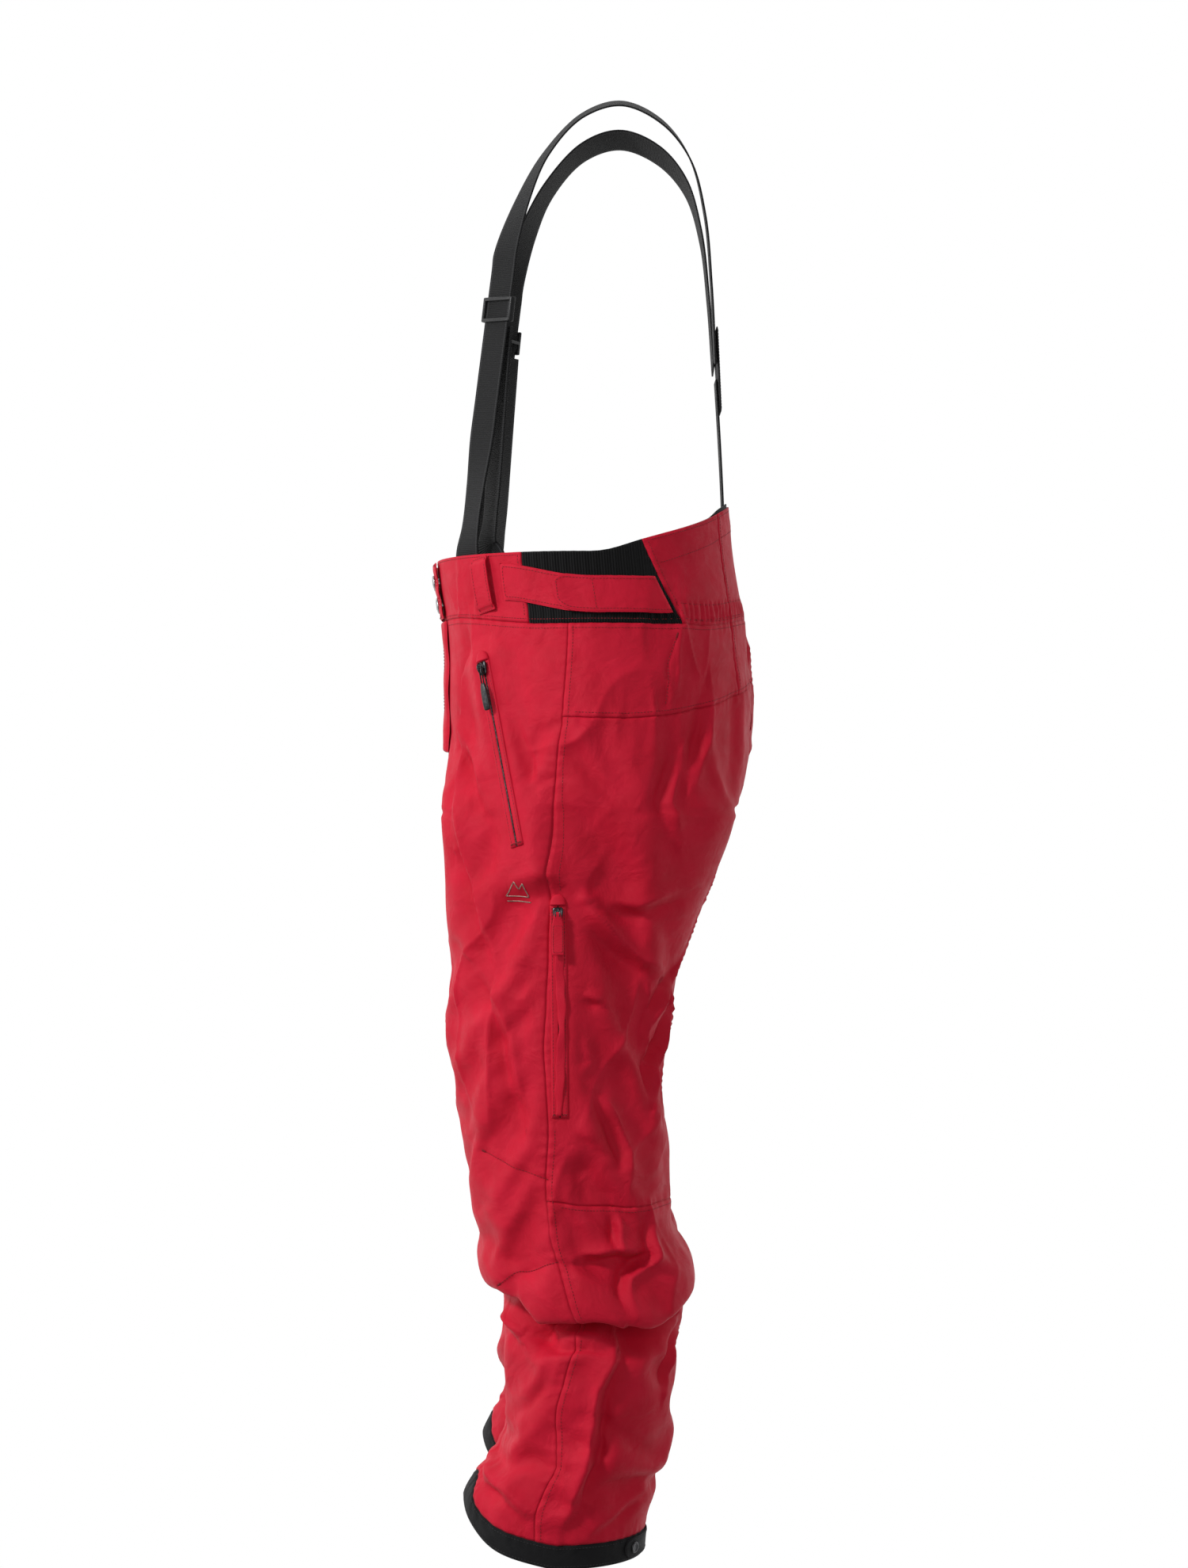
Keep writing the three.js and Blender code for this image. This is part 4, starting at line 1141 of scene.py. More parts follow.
class Stitches:
    """Rows of thread, collected for one piece."""

    WIDTH, HEIGHT, SUNK = 0.00042, 0.00028, 0.0004

    def __init__(self):
        self.shells = Shells()

    def add(self, points, normals, share=0.68, thick=1.0):
        """One stitch between each two neighbouring points."""
        for a, b, n in zip(points[:-1], points[1:], normals[:-1]):
            if np.linalg.norm(b - a) < 1e-6:
                continue
            across = unit(np.cross(n, b - a))
            rings = []
            for t, scale in ((-0.5, 0.35), (-0.3, 0.9), (0.3, 0.9), (0.5, 0.35)):
                center = (a + b) / 2 + (b - a) * (t * share)
                w = across * (self.WIDTH * scale * thick)
                h = n * (self.HEIGHT * scale * thick)
                rings.append([center + w, center + h, center - w, center - n * self.SUNK])
            loft(self.shells, rings)

    def add_on(self, run, side, points):
        """Stitches along points in a run's frame."""
        points = np.asarray(points, dtype=float)
        self.add(run.to_world(points) * MIRROR[side],
                 np.broadcast_to(run.axes[0] * MIRROR[side], points.shape))

    def build(self, name, material, body, slot_name):
        return finish_piece(self.shells.build(name, material), body)


TACK_STITCHES, TACK_WIDTH = 11, 0.0024


def bar_tack(stitches, point, normal, along, length):
    """A dense zigzag of thread across the end of a seam."""
    along = unit(along)
    across = np.cross(normal, along) * TACK_WIDTH
    line = [point + along * (length * (k / TACK_STITCHES - 0.5)) + across * (0.5 if k % 2 else -0.5)
            for k in range(TACK_STITCHES + 1)]
    stitches.add(np.array(line), np.array([normal] * len(line)), share=1.0, thick=1.3)


def tack_on(stitches, run, side, point, length):
    """A bar tack across a run, at a point of its frame."""
    bar_tack(stitches, run.to_world(point) * MIRROR[side], run.axes[0] * MIRROR[side],
             run.axes[1] * MIRROR[side], length)


CLOTH_THICKNESS = 0.0016


def thicken(obj):
    modifier = obj.modifiers.new("thickness", "SOLIDIFY")
    modifier.thickness = CLOTH_THICKNESS
    modifier.offset = -1
    modifier.use_even_offset = False
    apply_modifiers(obj)


# The cut cloth's size comes from the plain surface, before it is folded.
PLAIN = surface(GRID_U, GRID_Z)


def cut_size(row_range, column_range):
    """(width, length) and area in metres of a panel's cut, before folding."""
    block = PLAIN[row_range[0]:row_range[1] + 1, column_range[0]:column_range[1] + 1]
    across = np.linalg.norm(np.diff(block, axis=1), axis=-1)
    along = np.linalg.norm(np.diff(block, axis=0), axis=-1)
    width, length = across.sum(axis=1).max(), along.sum(axis=0).max()
    area = (across[:-1] * (along[:, :-1] + along[:, 1:]) / 2).sum()
    return width, length, area


def declare_sheet(size, halves=1):
    """Rounds the width and length of a panel's cut between the seam lines; nothing is done with them.
    """
    width, length, area = size
    width, length = round(halves * width, 3), round(length, 3)


def half_block(side, row_range, column_range):
    """Positions and UVs, in tens of centimetres, of a block of a half's fine grid."""
    rows = slice(row_range[0] * FINE, row_range[1] * FINE + 1)
    columns = slice(column_range[0] * FINE, column_range[1] * FINE + 1)
    block = fine[side][rows, columns] * MIRROR[side]
    uvs = np.stack([fine_arc[side][rows, columns] * 10, block[..., 2] * 10], axis=-1)
    return block, uvs


FLY_BOTTOM_ROW = YOKE_ROW - 5
FLY_GAP = 6                      # fine columns left open behind the fly flap


def add_panel(name, row_range, column_range, side, material=NYLON):
    block, uvs = half_block(side, row_range, column_range)
    rows, columns = block.shape[:2]
    faces = grid_faces(rows, columns, side < 0)
    if column_range[0] == 0 and row_range[1] == WAIST_ROW:
        # The front panel is open behind the fly's flap.
        first = (FLY_BOTTOM_ROW - row_range[0]) * FINE
        row, column = divmod(np.arange(len(faces)), columns - 1)
        faces = faces[~((row >= first) & (column < FLY_GAP))]
        used = np.unique(faces)
        order = np.full(rows * columns, -1)
        order[used] = np.arange(len(used))
        faces = order[faces]
        block, uvs = block.reshape(-1, 3)[used], uvs.reshape(-1, 2)[used]
    obj = add_object(name, block.reshape(-1, 3), faces, material, uvs.reshape(-1, 2))
    thicken(obj)
    finish_piece(obj, "garment", [name])
    declare_sheet(cut_size(row_range, column_range))


def add_center_panel(name, row_range, column_from):
    """A panel across the centre back, from one half's column to the other's."""
    left, left_uv = half_block(1, row_range, (column_from, COLUMNS))
    right, right_uv = half_block(-1, row_range, (column_from, COLUMNS))
    seam = (left[:, -1] + right[:, -1]) / 2
    seam[:, 0] = 0
    block = np.concatenate([left[:, :-1], seam[:, None], right[:, :-1][:, ::-1]], axis=1)
    shifted = right_uv[:, :-1][:, ::-1].copy()
    shifted[..., 0] = 2 * left_uv[:, -1:, 0] - shifted[..., 0]
    uvs = np.concatenate([left_uv, shifted], axis=1)
    rows, columns = block.shape[:2]
    obj = add_object(name, block.reshape(-1, 3), grid_faces(rows, columns), NYLON,
                     uvs.reshape(-1, 2))
    thicken(obj)
    finish_piece(obj, "garment", [name])
    declare_sheet(cut_size(row_range, (column_from, COLUMNS)), halves=2)


def inner_layer(name, side, row_range, column_range, depth, thickness, material, nodes=(),
                shape=None, ring=False, rise=0.0):
    """A layer of cloth behind the shell, on the coarse grid; rise lifts its top edge."""
    rows = slice(row_range[0] * FINE, row_range[1] * FINE + 1, FINE)
    columns = slice(column_range[0] * FINE, column_range[1] * FINE + 1, FINE)
    points, normal = (grid[rows, columns] for grid in backing[side])
    extra = 0 * points[..., 0] if shape is None else shape(points)
    outer = points - normal * (depth + extra)[..., None]
    inner = outer - normal * thickness
    for grid in (outer, inner):
        grid[-1, :, 2] += rise * smooth(FINE_U[-1, columns], 0.84, 0.90)
        if ring:
            middle = (grid[:, 0] + grid[:, -1]) / 2
            grid[:, 0], grid[:, -1] = middle, middle
    uvs = np.stack([fine_arc[side][rows, columns] * 10, points[..., 2] * 10], axis=-1)
    shells = Shells()
    sheet_shell(shells, outer, inner, uvs)
    obj = finish_piece(shells.build(name, material, side), "garment", nodes)
    declare_sheet(cut_size(row_range, column_range))


for suffix, side in SIDES:
    add_panel(f"front_panel_{suffix}", (BAND_ROW, WAIST_ROW), (0, HALF_COLUMNS), side)
    add_panel(f"back_shin_{suffix}", (BAND_ROW, KNEE_ROW), (HALF_COLUMNS, COLUMNS), side)
    add_panel(f"back_thigh_{suffix}", (KNEE_ROW, YOKE_ROW), (HALF_COLUMNS, COLUMNS), side)
    add_panel(f"yoke_{suffix}", (YOKE_ROW, WAIST_ROW), (HALF_COLUMNS, BACK_CENTER), side)
    add_panel(f"waistband_front_{suffix}", (WAIST_ROW, TOP_ROW), (0, STRETCH_FRONT), side)
    add_panel(f"waist_stretch_{suffix}", (WAIST_ROW, TOP_ROW), (STRETCH_FRONT, STRETCH_BACK),
              side, STRETCH)
    add_panel(f"back_waist_{suffix}", (WAIST_ROW, TOP_ROW), (STRETCH_BACK, BACK_CENTER), side)
    add_panel(f"hem_band_{suffix}", (0, BAND_ROW), (0, COLUMNS), side, BINDING)
add_center_panel("yoke_center", (YOKE_ROW, WAIST_ROW), BACK_CENTER)
add_center_panel("back_waist_center", (WAIST_ROW, TOP_ROW), BACK_CENTER)

# ------------------------------------------------------------------ inner layers

LINING_DEPTH = 0.0030
LINING_THICKNESS = 0.0008
GAITER_TOP_Z = -0.85


def cuff_shape(points):
    """The gaiter's lower edge is drawn in by its elastic into small gathers."""
    z = points[..., 2]
    low = smooth(-z, 0.93, 1.01)
    return low * 0.0018 * np.sin(2 * np.pi * arcs_of(points) / 0.017) + 0.0015 * np.sin(z * 70)


for suffix, side in SIDES:
    for part, columns in (("front", (0, HALF_COLUMNS)), ("back", (HALF_COLUMNS, COLUMNS))):
        inner_layer(f"lining_{part}_{suffix}", side, (BAND_ROW, WAIST_ROW - 1), columns,
                    LINING_DEPTH, LINING_THICKNESS, LINING)
    inner_layer(f"waist_facing_{suffix}", side, (WAIST_ROW - 1, TOP_ROW), (0, COLUMNS),
                0.0022, 0.0012, BINDING_TRIM, rise=0.0035)
    gaiter_top = int(np.interp(GAITER_TOP_Z, GRID_Z[:, HALF_COLUMNS], np.arange(len(GRID_Z))))
    inner_layer(f"gaiter_{suffix}", side, (BAND_ROW - 2, gaiter_top), (0, COLUMNS), 0.0125, 0.0016,
                LINING, [f"gaiter_{suffix}"], shape=cuff_shape, ring=True)


def add_pocket_bag(suffix, side):
    """Two layers of lining sewn round the edge, hanging behind the front panel."""
    a, b = np.linspace(-1, 1, 19), np.linspace(-1, 1, 24)[:, None]
    columns = (0.37 + 0.10 * a) * LAST_COLUMN
    row = np.array([row_at(column, (-0.225 + 0.113 * b)[:, 0]) for column in columns]).T
    column = np.broadcast_to(columns, row.shape)
    belly = (1 - a ** 4) * (1 - b ** 4)
    outer = place(side, row, column, -0.0075 + 0.0010 * belly)
    inner = place(side, row, column, -0.0079 - 0.0022 * belly)
    shells = Shells()
    sheet_shell(shells, outer, inner, np.stack([column * 0.02, row * 0.02], axis=-1))
    finish_piece(shells.build(f"pocket_bag_{suffix}", LINING), "garment",
                 [f"pocket_bag_{suffix}"])


for suffix, side in SIDES:
    add_pocket_bag(suffix, side)

# -------------------------------------------------------------------------- zips

ZIP_PITCH = 0.0019
STITCH_PITCH, STITCH_PROUD = 0.0034, 0.0001


def add_zip_line(kind, suffix, side, run, welt):
    """Two raised welts with the zip's teeth in the groove between them."""
    length = run.half[2]
    back = -run.half[0]              # the tape's inner face, in the run's frame
    groove, edge, proud = welt
    stations = np.linspace(-length, length, 60)
    for hand, name in ((1, "rear"), (-1, "front")):
        profile = np.array([(groove, 0.0001), (groove + 0.0003, 0.8 * proud),
                            (groove + 0.0014, proud), ((groove + edge) / 2, proud * 1.04),
                            (edge - 0.0018, proud), (edge - 0.0005, 0.75 * proud),
                            (edge, 0.0000), (edge, -0.0010), (groove, -0.0010)])
        rings = []
        for z in stations:
            swell = 1 + 0.06 * math.sin(z * 190 + hand)
            rings.append(np.stack([back + profile[:, 1] * swell, hand * profile[:, 0],
                                   z + 0 * profile[:, 0]], axis=1))
        shells = Shells()
        loft(shells, rings)
        build_on(run, side, shells, f"{kind}_welt_{name}_{suffix}", NYLON_TRIM, "garment",
                 [f"{kind}_zip_{suffix}"] if hand > 0 else [])
    # Tapes in the groove, then the teeth.
    tapes = Shells()
    rounded_bar(tapes, (back + 0.0004, 0, -length), (back + 0.0004, 0, length), (0, 1, 0),
                0.9 * groove, 0.0003)
    build_on(run, side, tapes, f"{kind}_tape_{suffix}", TAPE, "garment")
    teeth = Shells()
    tooth = min(0.0009, groove)
    for k, z in enumerate(np.arange(-length + 0.004, length - 0.003, ZIP_PITCH)):
        hand = 1 if k % 2 else -1
        rounded_bar(teeth, (back + 0.0008, hand * -0.3 * tooth, z),
                    (back + 0.0008, hand * tooth, z), (0, 0, 1), 0.0008, 0.0005)
    build_on(run, side, teeth, f"{kind}_teeth_{suffix}", COIL, "garment")

    stitches = Stitches()
    for hand in (1, -1):
        stitches.add_on(run, side, [(back + proud, hand * (edge - 0.0022), z)
                                    for z in np.arange(-length + 0.001, length, STITCH_PITCH)])
    stitches.build(f"{kind}_welt_stitching_{suffix}", THREAD_RED, "garment", "shell")


def add_storm_flap(suffix, side, run):
    """A folded strip of shell cloth over the vent's teeth, buckled where it is pinched."""
    length, top = run.half[2], -run.half[0] + 0.0013
    rings = []
    for z in np.linspace(-length + 0.002, length - 0.048, 72):
        drop = length - z
        pinch = math.exp(-((drop - 0.125) / 0.012) ** 2)
        middle = 0.0006 + 0.0022 * math.exp(-((drop - 0.115) / 0.035) ** 2) \
            - 0.0014 * smooth(drop, 0.160, 0.205) + 0.0004 * math.sin(drop * 260)
        wide = 0.0047 * (1 - 0.40 * pinch) * (1 - 0.4 * smooth(drop, 0.185, 0.205))
        proud = top + 0.0009 + 0.0006 * math.sin(drop * 150) + 0.0010 * pinch
        tilt = 0.16 * math.sin(drop * 75)
        rings.append(oval((proud, middle, z), (math.sin(tilt), math.cos(tilt), 0),
                          (math.cos(tilt), -math.sin(tilt), 0), wide, 0.0008, 2.8, 18))
    shells = Shells()
    loft(shells, rings)
    build_on(run, side, shells, f"vent_storm_flap_{suffix}", NYLON_TRIM, "garment")


def add_garage(kind, suffix, side, run, edge):
    """The hood of cloth over the top end of the zip, and the tack across its foot."""
    back = -run.half[0]
    hood = Shells()
    rings = []
    for step, z in enumerate(np.linspace(run.half[2] - 0.0005, run.half[2] + 0.011, 9)):
        t = step / 8
        wide = edge * math.sqrt(max(1 - t * t, 0.03))
        high = 0.0034 * (1 - t) ** 0.6 + 0.0006
        rings.append(run_oval(back, z, wide, high, 2.4, 20))
    loft(hood, rings)
    build_on(run, side, hood, f"{kind}_garage_{suffix}", NYLON_TRIM, "garment")
    stitches = Stitches()
    stitches.add_on(run, side, [(back + 0.0012, edge * 0.86 * math.sin(a),
                                 run.half[2] + 0.0085 * math.cos(a))
                                for a in np.linspace(-math.pi / 2, math.pi / 2, 13)])
    tack_on(stitches, run, side, (back + 0.0013, 0, -run.half[2] + 0.003), 1.7 * edge)
    stitches.build(f"{kind}_garage_stitching_{suffix}", THREAD_RED, "garment", "shell")


def middle_along(run, name, side):
    """How far along a run another CAD piece has its middle."""
    z = run.to_local(node_points(name, side))[:, 2]
    return (z.min() + z.max()) / 2


# Heights over the tape's inner face, as on the CAD's slider.
SLIDER_LOW, SLIDER_TOP, PIN_X = 0.0018, 0.0052, 0.0082


def add_slider(kind, suffix, side, run):
    """A cast slider with a waisted body and a loop. Returns its middle along the run."""
    name = f"{kind}_slider_{suffix}"
    middle = middle_along(run, name, side)
    back = -run.half[0]
    shells = Shells()
    low, top = back + SLIDER_LOW, back + SLIDER_TOP
    loft(shells, [run_oval((top + low) / 2, middle + z / 1000, wide / 1000, (top - low) / 2 * high,
                           3.2, 20)
                  for z, wide, high in ((-7.0, 2.6, 0.4), (-6.6, 3.5, 0.75), (-5.2, 4.2, 0.95),
                                        (-2.0, 4.6, 1.0), (1.5, 5.2, 1.0), (4.6, 5.4, 0.95),
                                        (6.2, 4.8, 0.75), (6.9, 3.9, 0.4))])
    pin_x = back + PIN_X
    arch = ((top - 0.0006, -0.0056), (top + 0.0024, -0.0048), (pin_x + 0.0012, -0.0024),
            (pin_x + 0.0019, 0), (pin_x + 0.0012, 0.0024), (top + 0.0024, 0.0048),
            (top - 0.0006, 0.0056))
    for y in (-0.0021, 0.0021):
        tube(shells, [(x, y, middle + z) for x, z in arch], 0.0007)
    tube(shells, [(pin_x, y, middle) for y in (-0.0026, 0, 0.0026)], 0.0008)
    build_on(run, side, shells, name, GUNMETAL, name, [name])
    return middle


def add_cord_pull(suffix, side, run, middle):
    """A loop of cord from the slider, and a moulded grip with a mesh window."""
    x, z0 = -run.half[0] + PIN_X, middle
    name = f"pocket_pull_{suffix}"
    cord = Shells()
    loop = [(x - 0.0002, -0.0013, z0 - 0.020), (x, -0.0014, z0 - 0.012), (x, -0.0012, z0 - 0.004),
            (x + 0.0002, -0.0009, z0 + 0.0009), (x + 0.0002, 0.0, z0 + 0.0019),
            (x + 0.0002, 0.0009, z0 + 0.0009), (x, 0.0012, z0 - 0.004), (x, 0.0014, z0 - 0.012),
            (x - 0.0002, 0.0013, z0 - 0.020)]
    tube(cord, refine(np.array(loop), 4, 0), 0.00075)
    build_on(run, side, cord, f"pocket_pull_cord_{suffix}", BINDING_TRIM, name)
    grip = Shells()
    loft(grip, [run_oval(x, z0 + z / 1000, wide / 1000, high / 1000, 3.0, 20)
                for z, wide, high in ((-17.2, 1.7, 1.2), (-17.8, 2.4, 1.5), (-21, 3.1, 1.8),
                                      (-26, 3.7, 1.9), (-34, 4.0, 1.8), (-42, 3.9, 1.6),
                                      (-45, 3.4, 1.4), (-46, 2.4, 0.8))])
    build_on(run, side, grip, name, PLASTIC, name, [name])
    window = Shells()
    rounded_bar(window, (x + 0.0006, 0, z0 - 0.043), (x + 0.0006, 0, z0 - 0.027), (0, 1, 0),
                0.0027, 0.0014)
    for z in np.arange(-0.0420, -0.0275, 0.0018):
        tube(window, [(x + 0.0019, y, z0 + z + y * 0.35) for y in (-0.0025, 0, 0.0025)], 0.0003, 6)
    for y in (-0.0018, -0.0006, 0.0006, 0.0018):
        tube(window, [(x + 0.0020, y, z0 + z) for z in (-0.0425, -0.035, -0.0275)], 0.00025, 6)
    build_on(run, side, window, f"pocket_pull_mesh_{suffix}", GRIP_MESH, name)


def pull_bend(drop):
    """How far the cloth pull curls out at a drop below its pin."""
    return 0.0008 * np.sin(drop * 90)


def border_sides(border, step):
    """Two rows of coordinates, about `step` apart, for each straight side of a border."""
    for (a1, b1), (a2, b2) in zip(border, border[1:]):
        count = max(2, round(math.hypot(a2 - a1, b2 - b1) / step)) + 1
        yield np.linspace(a1, a2, count), np.linspace(b1, b2, count)


def add_fabric_pull(suffix, side, run, middle):
    """A folded loop of cloth through the slider, sewn down on itself."""
    x, z0 = -run.half[0] + PIN_X, middle
    name = f"vent_pull_{suffix}"
    shells = Shells()
    # Half width, drop from the pin and half depth, in tenths of a millimetre.
    stations = ((28, 22, 6), (32, 5, 21), (48, -60, 14), (58, -120, 12), (60, -240, 11),
                (60, -380, 12), (58, -412, 8))
    rings = [run_oval(x + pull_bend(drop / 1e4), z0 + drop / 1e4, wide / 1e4, thick / 1e4, 4.0, 24)
             for wide, drop, thick in stations]
    loft(shells, refine(np.array(rings), 4, 0))
    build_on(run, side, shells, name, NYLON_TRIM, name, [name])
    stitches = Stitches()
    border = [(-0.0046, -0.012), (-0.0048, -0.024), (-0.0046, -0.0385), (0.0046, -0.0385),
              (0.0048, -0.024), (0.0046, -0.012), (-0.0046, -0.012)]
    for y, drop in border_sides(border, 0.0026):
        stitches.add_on(run, side, np.stack([x + 0.0011 + pull_bend(drop), y, z0 + drop], axis=1))
    stitches.build(f"vent_pull_stitching_{suffix}", THREAD_RED, name, "pull_grip")


for suffix, side in SIDES:
    pocket, vent = ZIP_RUNS[side]
    add_zip_line("pocket", suffix, side, pocket, (0.0008, 0.0078, 0.0011))
    add_garage("pocket", suffix, side, pocket, 0.0078)
    add_cord_pull(suffix, side, pocket, add_slider("pocket", suffix, side, pocket))
    add_zip_line("vent", suffix, side, vent, (0.0004, 0.0085, 0.0013))
    add_storm_flap(suffix, side, vent)
    add_garage("vent", suffix, side, vent, 0.0085)
    add_fabric_pull(suffix, side, vent, add_slider("vent", suffix, side, vent))

# ------------------------------------------------------- flaps, loops and tabs


def signed_place(row, column, proud):
    """Places across the centre front: negative columns are on the wearer's right."""
    left = place(1, row, np.abs(column), proud)
    right = place(-1, row, np.abs(column), proud)
    return np.where((column >= 0)[..., None], left, right)


def packed(count, bend=1.45):
    """Values from -1 to 1 that lie closer together towards both ends."""
    return np.sin(np.linspace(-bend, bend, count)) / math.sin(bend)


def edge_window(a, b, soft_a, soft_b):
    """1 inside a patch and rounding to 0 at its borders; a and b run from -1 to 1."""
    da = np.clip((1 - np.abs(a)) / soft_a, 0, 1)
    db = np.clip((1 - np.abs(b)) / soft_b, 0, 1)
    return np.sqrt(1 - (1 - da) ** 2) * np.sqrt(1 - (1 - db) ** 2)


FLAP_INNER, FLAP_OUTER = 0.0030, 0.0050
# Each flap: its half width in fine columns, its lower edge and its upper edge.
FLY = (19, -0.204, -0.064)
WAIST_FLAP = (20.7, -0.061, -0.002)


def flap_grid(flap, a, b):
    """Rows, columns and heights of places a across and b up a flap, each from -1 to 1."""
    half_columns, low, high = flap
    column, z = np.broadcast_arrays(a * half_columns, (low + high) / 2 + b * (high - low) / 2)
    row = [row_at(abs(c), height) for c, height in zip(column.ravel(), z.ravel())]
    return np.reshape(row, column.shape), column, z


def add_front_flap(name, body, flap, sewn_edges):
    a, b = np.broadcast_arrays(packed(35), packed(45)[:, None])
    row, column, z = flap_grid(flap, a, b)
    window = edge_window(a, b, 0.12, 0.06)
    lift = (FLAP_INNER + FLAP_OUTER) / 2 + 0.0005 * np.sin(b * 9 + a * 2)
    half = (FLAP_OUTER - FLAP_INNER) / 2 * window
    if sewn_edges:
        sewn = edge_window(a, np.minimum(b, 0), 0.30, 0.04)
        lift += 0.0018 * sewn * smooth(-b, 0.2, 0.8) - (FLAP_INNER - 0.0004) * (1 - sewn)
    shells = Shells()
    sheet_shell(shells, signed_place(row, column, lift + half),
                signed_place(row, column, lift - half), np.stack([column * 0.02, z * 10], axis=-1))
    finish_piece(shells.build(name, NYLON), body, [name])


def add_flap_stitching(name, body, flap, stops):
    """A row of stitches through places (a, b) on a front flap, each from -1 to 1."""
    row, column, _ = flap_grid(flap, *between(stops, 60))
    proud = FLAP_OUTER + STITCH_PROUD
    points = signed_place(row, column, proud + 0 * row)
    out = signed_place(row, column, proud + 0.001 + 0 * row) - points
    s, marks = evenly(points, STITCH_PITCH)
    stitches = Stitches()
    stitches.add(at_marks(marks, s, points), unit(at_marks(marks, s, out)))
    stitches.build(name, THREAD_RED, body, "shell")


add_front_flap("fly_flap", "garment", FLY, True)
add_front_flap("waist_flap", "waist_flap", WAIST_FLAP, False)
add_flap_stitching("waist_flap_stitching", "waist_flap", WAIST_FLAP,
                   [(-0.93, -0.94), (0.92, -0.94), (0.94, 0.93), (-0.93, 0.93), (-0.93, -0.94)])
add_flap_stitching("fly_stitching", "garment", FLY,
                   [(0.55, 0.97), (0.55, -0.55), (0.35, -0.80), (0.0, -0.86), (-0.55, -0.86)])


def add_snap(name):
    """A turned metal cap with a raised ring of small bars round its face."""
    run = Run(name)

    def bars(radius, angle):
        return 0.00028 * (np.sin(angle * 12) > 0) if 0.0052 < radius < 0.0068 else 0

    # Radius and height over the flap, in tenths of a millimetre.
    profile = ((4, 0), (82, 0), (86, 5), (84, 13), (77, 19), (70, 21), (67, 17), (60, 16),
               (53, 17), (49, 22), (44, 26), (30, 24), (14, 23), (4, 23))
    shells = Shells()
    lathe(shells, [(radius / 1e4, high / 1e4 - run.half[0]) for radius, high in profile], 48, bars)
    build_on(run, 1, shells, name, CHROME, "waist_flap", [name])


add_snap("snap_cap_upper")
add_snap("snap_cap_lower")


def add_belt_loop(suffix, side):
    name = f"belt_loop_{suffix}"
    run = Run(name, side)
    back = -run.half[0]
    # How far the upper half stands out, and its height, in tenths of a millimetre.
    rise = [(41, 0), (39, 100), (33, 215), (18, 242), (7, 262), (4, 288)]
    profile = np.array([(out, -z) for out, z in rise[:0:-1]] + rise) / 1e4
    out, z = refine(profile, 4, 0).T
    points = np.stack([back + 0.0007 + out, 0 * out, z], axis=1)
    along = np.gradient(points, axis=0)
    normals = unit(np.stack([along[:, 2], 0 * out, -along[:, 0]], axis=1))
    across = np.broadcast_to((0.0, 1.0, 0.0), points.shape)
    shells = Shells()
    band(shells, points, across, normals, 0.024, 0.0015)
    build_on(run, side, shells, name, NYLON, "garment", [name])
    stitches = Stitches()
    for y in (-0.0096, 0.0096):
        stitches.add_on(run, side, [(np.interp(mark, z, points[:, 0]) + 0.0009, y, mark)
                                    for mark in np.linspace(-0.027, 0.027, 17)])
    for tack_z in (-0.0272, 0.0272):
        tack_on(stitches, run, side, (back + 0.0018, 0, tack_z), 0.018)
    stitches.build(f"belt_loop_stitching_{suffix}", THREAD_RED, "garment", "shell")


def add_patch(name, side, columns, middle, half, heights, material, body, lift=0.0):
    """A strip of cloth on the garment: `half` above and below `middle` on each column.

    heights are those of its under and upper face over the cloth.
    """
    t = packed(15)
    row = np.array([row_at(column, z + t * reach) for column, z, reach
                    in zip(columns, middle, np.broadcast_to(half, len(columns)))]).T
    column = np.broadcast_to(columns, row.shape)
    a, b = np.broadcast_arrays(np.linspace(-1, 1, len(columns)), t[:, None])
    window = edge_window(a, b, 0.03, 0.10)
    inner, outer = heights
    core, thick = (inner + outer) / 2 + lift, (outer - inner) / 2 * window
    uvs = np.stack([column * 0.02, sample(FINE_Z, row, column)[..., 0] * 10], axis=-1)
    shells = Shells()
    sheet_shell(shells, place(side, row, column, core + thick, False),
                place(side, row, column, core - thick, False), uvs)
    finish_piece(shells.build(name, material), body, [name])


def patch_line(side, columns, z, proud, sewn=False):
    """Points and normals of stitches along a line of columns and heights."""
    row = [row_at(column, height) for column, height in zip(columns, z)]
    return trace(side, np.column_stack([row, columns]), STITCH_PITCH, proud, sewn)


def adjuster_middle(u):
    """Height of the waist adjuster's middle; it slopes down towards the back."""
    return -0.030 - 0.015 * smooth(u, 0.34, 0.56)


ADJUSTER_HALF = 0.019
STRAP_HEIGHTS = (0.0007, 0.0026)
TAB_HEIGHTS = (0.0031, 0.0050)
TAB_FRONT, TAB_TURN = -13, 39    # degrees: the tab's free end, and how far back it goes
TAB_REACH = 0.00285 * TAB_TURN
TAB_CORNER = 0.015
STITCH_INSET = 0.0035


def cross_line(side, column, middle, reach, proud, count=11):
    """A row of stitches straight up and down a strip of cloth, through `count` places."""
    offsets = np.linspace(-reach, reach, count)
    return patch_line(side, np.full(count, column), middle + offsets, proud)


def add_waist_strap(suffix, side):
    columns = np.array([column_at(angle, -0.035) for angle in np.linspace(-34, 4, 32)])
    middle = adjuster_middle(columns / LAST_COLUMN)
    add_patch(f"waist_strap_{suffix}", side, columns, middle, ADJUSTER_HALF, STRAP_HEIGHTS,
              NYLON, "garment")
    stitches = Stitches()
    reach, proud = ADJUSTER_HALF - STITCH_INSET, STRAP_HEIGHTS[1] + STITCH_PROUD
    for offset in (-reach, reach):
        stitches.add(*patch_line(side, columns[1:], middle[1:] + offset, proud))
    stitches.add(*cross_line(side, columns[1], middle[1], reach, proud, 9))
    stitches.build(f"waist_strap_stitching_{suffix}", THREAD_RED, "garment", "shell")


